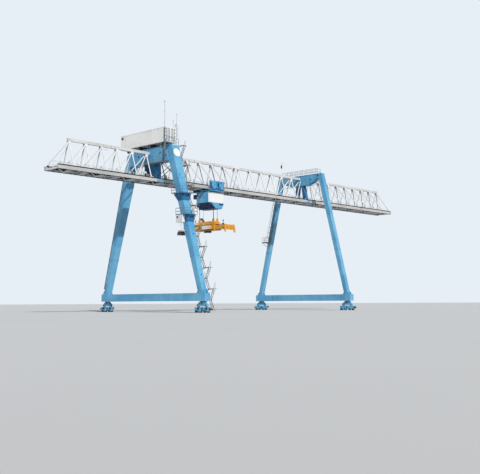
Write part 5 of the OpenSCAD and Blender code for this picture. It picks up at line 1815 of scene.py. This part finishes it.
@dataclass
class Spreader:
    """Details of the headblock, the telescopic spreader and its arms."""

    x: float = TROLLEY_X
    half: float = 0.0875
    sheave_z: float = 1.688
    pack_z: float = 1.478
    arm_end: float = 0.575

    def build(self) -> None:
        """Builds the headblock's sheaves, basket and gear, the frame's gear, and the arms' ends."""
        self.sheaves()
        self.cable_basket()
        self.headblock_gear()
        self.panels()
        self.housings()
        self.power_pack()
        self.signal_posts()
        self.hoses()
        self.arms()

    def sheaves(self) -> None:
        """Sheaves in their housings, and end plates with ribs on the headblock."""
        x = self.x
        towers = Bench("headblock_sheave_housings")
        sheaves = Bench("headblock_sheaves")
        for s in (-1, 1):
            y = s * ROPE_Y
            for dx in (-ROPE_X, ROPE_X):
                for t in (-1, 1):
                    cy = y + t * 0.0135
                    towers.box((x + dx - 0.019, cy - 0.0022, 1.655), (x + dx + 0.019, cy + 0.0022, 1.722))
                    towers.shape((0, 0, 1), (0.5, 1, 1))
                sheaves.rod((x + dx, y - 0.009, self.sheave_z), (x + dx, y + 0.009, self.sheave_z), 0.036, 28)
                sheaves.rod((x + dx, y - 0.019, self.sheave_z), (x + dx, y + 0.019, self.sheave_z), 0.010, 12)
            towers.box((x - 0.032, s * 0.2245, 1.602), (x + 0.032, s * 0.2305, 1.70))
            towers.shape((0, 0, 1), (0.62, 1, 1))
            for dx in (-0.026, 0.026):
                towers.box((x + dx - 0.003, s * 0.2305, 1.604), (x + dx + 0.003, s * 0.2405, 1.665))
                towers.shape((0, 0, 1), (1, 0.3, 1), (0, -s * 0.003, 0))
        towers.done(Finish.YELLOW_PAINT, 0.0008, body=Body.SPREADER)
        sheaves.done(Finish.WHEEL_IRON, 0.0006, True, body=Body.SPREADER)

    def cable_basket(self) -> None:
        """Open basket that takes the spreader's cable."""
        basket = Bench("cable_basket")
        bx, by = self.x, 0.192
        basket.rod((bx, by, 1.7075), (bx, by, 1.723), 0.024, 20, 0.060)
        for z, r in ((1.724, 0.0305), (1.734, 0.0325), (1.7455, 0.034)):
            basket.ring((bx, by, z), (0, 0, 1), r, 0.0034, 24)
        for i in range(20):
            out = Vector((math.cos(math.radians(18 * i)), math.sin(math.radians(18 * i)), 0))
            foot, head = Vector((bx, by, 1.723)) + out * 0.030, Vector((bx, by, 1.746)) + out * 0.034
            basket.rod(foot, head, 0.0045, 6)
        basket.done(Finish.DARK_STEEL, smooth=True, body=Body.SPREADER)

    def headblock_gear(self) -> None:
        """Dark drums and pipes on the headblock, and the locks under it."""
        x = self.x
        gear = Bench("headblock_gear")
        gear.box((x - 0.03, -0.06, 1.645), (x + 0.03, 0.04, 1.672))
        for y in (-0.12, -0.09, 0.075):
            gear.rod((x - 0.03, y, 1.66), (x + 0.03, y, 1.66), 0.02, 16)
        for pipe_x in (x - 0.042, x + 0.042):
            gear.rod((pipe_x, -0.13, 1.665), (pipe_x, 0.11, 1.665), 0.008, 10)
        gear.done(Finish.DARK_STEEL, 0.0006, True, body=Body.SPREADER)
        locks = Bench("headblock_locks")
        for y in (-0.20, 0.20):
            for lock_x in (x - 0.055, x + 0.055):
                locks.box((lock_x - 0.014, y - 0.014, 1.5985), (lock_x + 0.014, y + 0.014, 1.614))
                locks.rod((lock_x, y, 1.612), (lock_x, y, 1.634), 0.012, 12)
        locks.done(Finish.YELLOW_PAINT, 0.0008, body=Body.SPREADER)

    def panels(self) -> None:
        """Bare panels in their frames on both sides, and end brackets with round caps."""
        panel = Bench("spreader_side_panels")
        for t in (-1, 1):
            face = self.x + t * self.half
            panel.box((face + t * 0.0165, -0.155, 1.522), (face + t * 0.0195, 0.07, 1.588))
        panel.done(Finish.WHITE_PAINT, 0.0008, body=Body.SPREADER)
        brackets = Bench("spreader_panel_frames")
        for t in (-1, 1):
            face = self.x + t * self.half
            for y in (-0.162, 0.077):
                brackets.box((face, y - 0.006, 1.515), (face + t * 0.021, y + 0.006, 1.594))
            for z in (1.515, 1.589):
                brackets.box((face, -0.162, z), (face + t * 0.021, 0.077, z + 0.006))
        for s in (-1, 1):
            for t in (-1, 1):
                f = self.x + t * self.half
                brackets.box((f, s * 0.236, 1.4985), (f + t * 0.012, s * 0.2502, 1.5955))
                brackets.rod((f + t * 0.012, s * 0.240, 1.547), (f + t * 0.016, s * 0.240, 1.547), 0.018, 20)
        brackets.done(Finish.YELLOW_PAINT, 0.0008, body=Body.SPREADER)

    def housings(self) -> None:
        """Round housings on both sides of the frame."""
        drums = Bench("spreader_round_housings")
        for t in (-1, 1):
            f = self.x + t * self.half
            for y, z, d in ((0.135, 1.570, 0.050), (0.135, 1.512, 0.050), (0.20, 1.545, 0.04)):
                drums.rod((f, y, z), (f + t * 0.022, y, z), d, 28)
                drums.rod((f + t * 0.022, y, z), (f + t * 0.026, y, z), d * 0.5, 20)
        drums.done(Finish.YELLOW_PAINT, 0.0012, True, body=Body.SPREADER)

    def power_pack(self) -> None:
        """Power pack that hangs under the frame."""
        x = self.x
        pack = Bench("spreader_power_pack")
        pack.rod((x - 0.03, -0.06, self.pack_z), (x - 0.03, 0.07, self.pack_z), 0.036, 20)
        pack.rod((x + 0.03, -0.04, 1.480), (x + 0.03, 0.05, 1.480), 0.03, 20)
        pack.box((x - 0.055, -0.03, 1.464), (x + 0.055, 0.035, 1.4965))
        for y in (-0.062, 0.068):
            pack.rod((x - 0.03, y, self.pack_z), (x - 0.03, y + 0.006, self.pack_z), 0.024, 16)
        pack.done(Finish.BLACK_PAINT, 0.002, True, body=Body.SPREADER)

    def signal_posts(self) -> None:
        """Signal posts on consoles at both ends of the frame."""
        x = self.x
        posts = Bench("spreader_signal_posts")
        for s in (-1, 1):
            y = s * 0.43
            posts.box((x - 0.052, s * 0.16, 1.5975), (x - 0.028, y + s * 0.012, 1.6025))
            posts.box((x - 0.042, s * 0.16, 1.5915), (x - 0.038, y, 1.5975))
            posts.box((x - 0.054, y - 0.013, 1.5895), (x - 0.026, y + 0.013, 1.612))
            posts.rod((x - 0.04, y, 1.612), (x - 0.04, y, 1.650), 0.012, 12)
            posts.rod((x - 0.04, y, 1.650), (x - 0.04, y, 1.678), 0.025, 16, 0.015)
        posts.done(Finish.DARK_STEEL, 0.0006, True, body=Body.SPREADER)

    def hoses(self) -> None:
        """Hoses along both sides of the frame and up to the headblock."""
        x = self.x
        hoses = Bench("spreader_hoses")
        for t in (-1, 1):
            f = x + t * self.half
            for z in (1.504, 1.5095, 1.515):
                hoses.rod((f + t * 0.004, -0.245, z), (f + t * 0.004, 0.10, z), 0.004, 6)
        for i in range(2):
            hoses.rod((x - 0.02 + i * 0.02, 0.11, 1.665), (x - 0.01 + i * 0.01, 0.18, 1.712), 0.005, 8)
        hoses.done(Finish.CABLE_SHEATH, smooth=True, body=Body.SPREADER)

    def arms(self) -> None:
        """Gear at each arm's end: flippers, rests, ribs, cylinders and twistlocks."""
        x = self.x
        for s, body, name in ((-1, Body.ARM_NEAR, "near"), (1, Body.ARM_FAR, "far")):
            end = s * self.arm_end
            gear = Bench(f"arm_gear_{name}")
            for t in (-1, 1):
                ex = x + t * 0.137
                gear.box((ex - 0.004, end - s * 0.036, 1.462), (ex + 0.004, end - s * 0.004, 1.505))
                gear.shape((0, 0, -1), (1, 0.5, 1))
                gear.box((ex - t * 0.03, end - s * 0.058, 1.5822), (ex - t * 0.024, end - s * 0.006, 1.5865))
            for i in range(7):
                gear.box((x - 0.1 + i * 0.033, end, 1.505), (x - 0.096 + i * 0.033, end + s * 0.006, 1.572))
            gear.done(Finish.YELLOW_PAINT, 0.0006, body=body)
            dark = Bench(f"arm_cylinders_{name}")
            for t in (-1, 1):
                y, lock_x, lock_y = end - s * 0.026, x + t * 0.11, end - s * 0.014
                dark.rod((x + t * 0.085, y, 1.505), (x + t * 0.12, y, 1.505), 0.02, 16)
                dark.rod((lock_x, lock_y, 1.4405), (lock_x, lock_y, 1.4515), 0.010, 12)
            dark.done(Finish.DARK_STEEL, 0.0006, True, body=body)


@dataclass
class PendulumPortal:
    """Details on and round the pendulum portal."""

    railing: Railing = Railing()

    def build(self) -> None:
        """Builds the ladder's cage and platform, the white mast and brackets."""
        self.ladder_cage()
        self.rest_platform()
        self.mast()

    def ladder_cage(self) -> None:
        """Safety hoops of the leg's ladder, which leans as the leg does."""
        hoops = Bench("leg_ladder_hoops")
        head_y, head_z, foot_y, foot_z = 0.6117, 2.4257, 0.8916, 1.4828
        for i in range(20):
            z = 1.56 + i * 0.044
            y = head_y + (head_z - z) * (foot_y - head_y) / (head_z - foot_z)
            hoops.ring((1.362, y + 0.003, z), (0, 0, 1), 0.033, 0.0018, 20)
        hoops.done(Finish.ZINC_STEEL, smooth=True)

    def rest_platform(self) -> None:
        """Railed platform at the foot of the leg's ladder."""
        box = Bench("leg_ladder_platform")
        x0, x1, y0, y1, z = 1.30, 1.462, 0.825, 0.945, 1.457
        box.box((x0, y0, z - 0.005), (x1, y1, z))
        self.railing.along(box, [(x1, y0 + 0.002, z), (x0 + 0.002, y0 + 0.002, z),
                                 (x0 + 0.002, y1 - 0.002, z), (x1, y1 - 0.002, z)])
        for y in (y0 + 0.01, y1 - 0.01):
            box.flat_bar((x0 + 0.01, y, z - 0.006), (x1 + 0.006, y, z - 0.087), 0.006, 0.006, (0, 1, 0))
        box.done(Finish.ZINC_STEEL)

    def mast(self) -> None:
        """White lamp mast at the pendulum portal's far end, and antenna brackets on the girder."""
        white = Bench("pendulum_white_mast")
        lamp = Bench("pendulum_mast_lamp")
        x, y = PENDULUM_X, 0.532
        white.rod((x, y, 2.8405), (x, y, 3.13), 0.011, 12)
        white.rod((x, y, 2.8405), (x, y, 2.85), 0.03, 16)
        lamp.box((x - 0.032, y - 0.012, 3.07), (x - 0.008, y + 0.012, 3.135))
        lamp.box((x - 0.010, y - 0.004, 3.09), (x, y + 0.004, 3.10))
        white.done(Finish.WHITE_PAINT, smooth=True)
        lamp.done(Finish.BLACK_PAINT, 0.002)
        bars = Bench("girder_antenna_brackets")
        for x0 in (1.9, 3.4):
            bars.flat_bar((x0, -0.195, 2.30), (x0, -0.25, 2.33), 0.006, 0.004, (1, 0, 0))
            bars.rod((x0, -0.25, 2.33), (x0, -0.25, 2.40), 0.005, 8)
            bars.box((x0 - 0.012, -0.262, 2.40), (x0 + 0.012, -0.24, 2.412))
        bars.done(Finish.DARK_STEEL)


@dataclass
class Stage:
    """Floor, lights, background and camera."""

    eye: Point = (-11.5095, -10.6089, 0.16)
    ahead: Point = (0.72127, 0.68772, 0.08254)
    right: Point = (0.69033, -0.72348, -0.00446)
    up: Point = (-0.05665, -0.0602, 0.99658)
    focal_px: float = 792.84
    width_px: float = 480.0

    def build(self) -> None:
        """Builds the camera, the floor and the lights."""
        self.camera()
        self.floor()
        self.lights()

    def camera(self) -> None:
        """Camera at the photograph's place and angle."""
        data = bpy.data.cameras.new("camera")
        data.sensor_width = 36.0
        data.sensor_fit = "HORIZONTAL"
        data.lens = 36.0 * self.focal_px / self.width_px
        data.clip_end = 500.0
        eye = bpy.data.objects.new("camera", data)
        bpy.context.collection.objects.link(eye)
        turn = Matrix((self.right, self.up, [-v for v in self.ahead])).transposed().to_4x4()
        eye.matrix_world = at(*self.eye) @ turn
        bpy.context.scene.camera = eye

    def floor(self) -> None:
        """Plain pale floor."""
        deselect()
        bpy.ops.mesh.primitive_plane_add(size=240, location=(0, 0, -0.0005))
        floor = bpy.context.object
        floor.name = "floor"
        g = Graph("pale_floor")
        shade = g.noise(0.6, 2)
        colour = g.mix(shade, (0.66, 0.68, 0.70, 1), (0.70, 0.72, 0.74, 1))
        floor.data.materials.append(g.finish({"Base Color": colour, "Roughness": 0.9}))

    def lights(self) -> None:
        """Key light from the near side, a weak side light, and a sky that is dimmer than it looks."""
        scene = bpy.context.scene
        scene.view_settings.view_transform = "Standard"
        world = bpy.data.worlds.new("studio")
        scene.world = world
        world.use_nodes = True
        sky = Nodes(world.node_tree)
        rays = sky.node("ShaderNodeLightPath").outputs
        camera, glossy, through = (Signal(sky, rays[f"Is {kind} Ray"])
                                   for kind in ("Camera", "Glossy", "Transmission"))
        seen = camera | glossy | through
        fill = sky.node("ShaderNodeBackground", None, {"Color": (0.80, 0.88, 1.0, 1), "Strength": 0.15})
        view = sky.node("ShaderNodeBackground", None, {"Color": (0.80, 0.86, 0.92, 1), "Strength": 1.0})
        mix = sky.node("ShaderNodeMixShader", None, {0: seen, 1: fill.outputs[0], 2: view.outputs[0]})
        sky.node("ShaderNodeOutputWorld", None, {"Surface": mix.outputs[0]})
        for name, way, power, width, colour in (("key", (0.42, 0.90, -0.73), 3.5, 1.0, (1.0, 0.97, 0.93)),
                                                ("side", (0.95, -0.1, -0.35), 0.12, 40.0, (0.86, 0.93, 1.0))):
            data = bpy.data.lights.new(name, "SUN")
            data.energy = power
            data.angle = math.radians(width)
            data.color = colour
            lamp = bpy.data.objects.new(name, data)
            lamp.rotation_euler = Vector(way).to_track_quat("-Z", "Y").to_euler()
            bpy.context.collection.objects.link(lamp)


def main() -> None:
    """Dresses the CAD nodes and builds every sub-assembly in order."""
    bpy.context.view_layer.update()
    CadNodes(NODE_FINISH).dress()
    for part in (Girder(), PortalLegs(), Bogies(), DriveRoom(), FixedPortal(), PendulumPortal(), Trolley(),
                 MachineHouse(), HoistRopes(), Spreader(), Stage()):
        part.build()


if __name__ == "__main__":
    main()
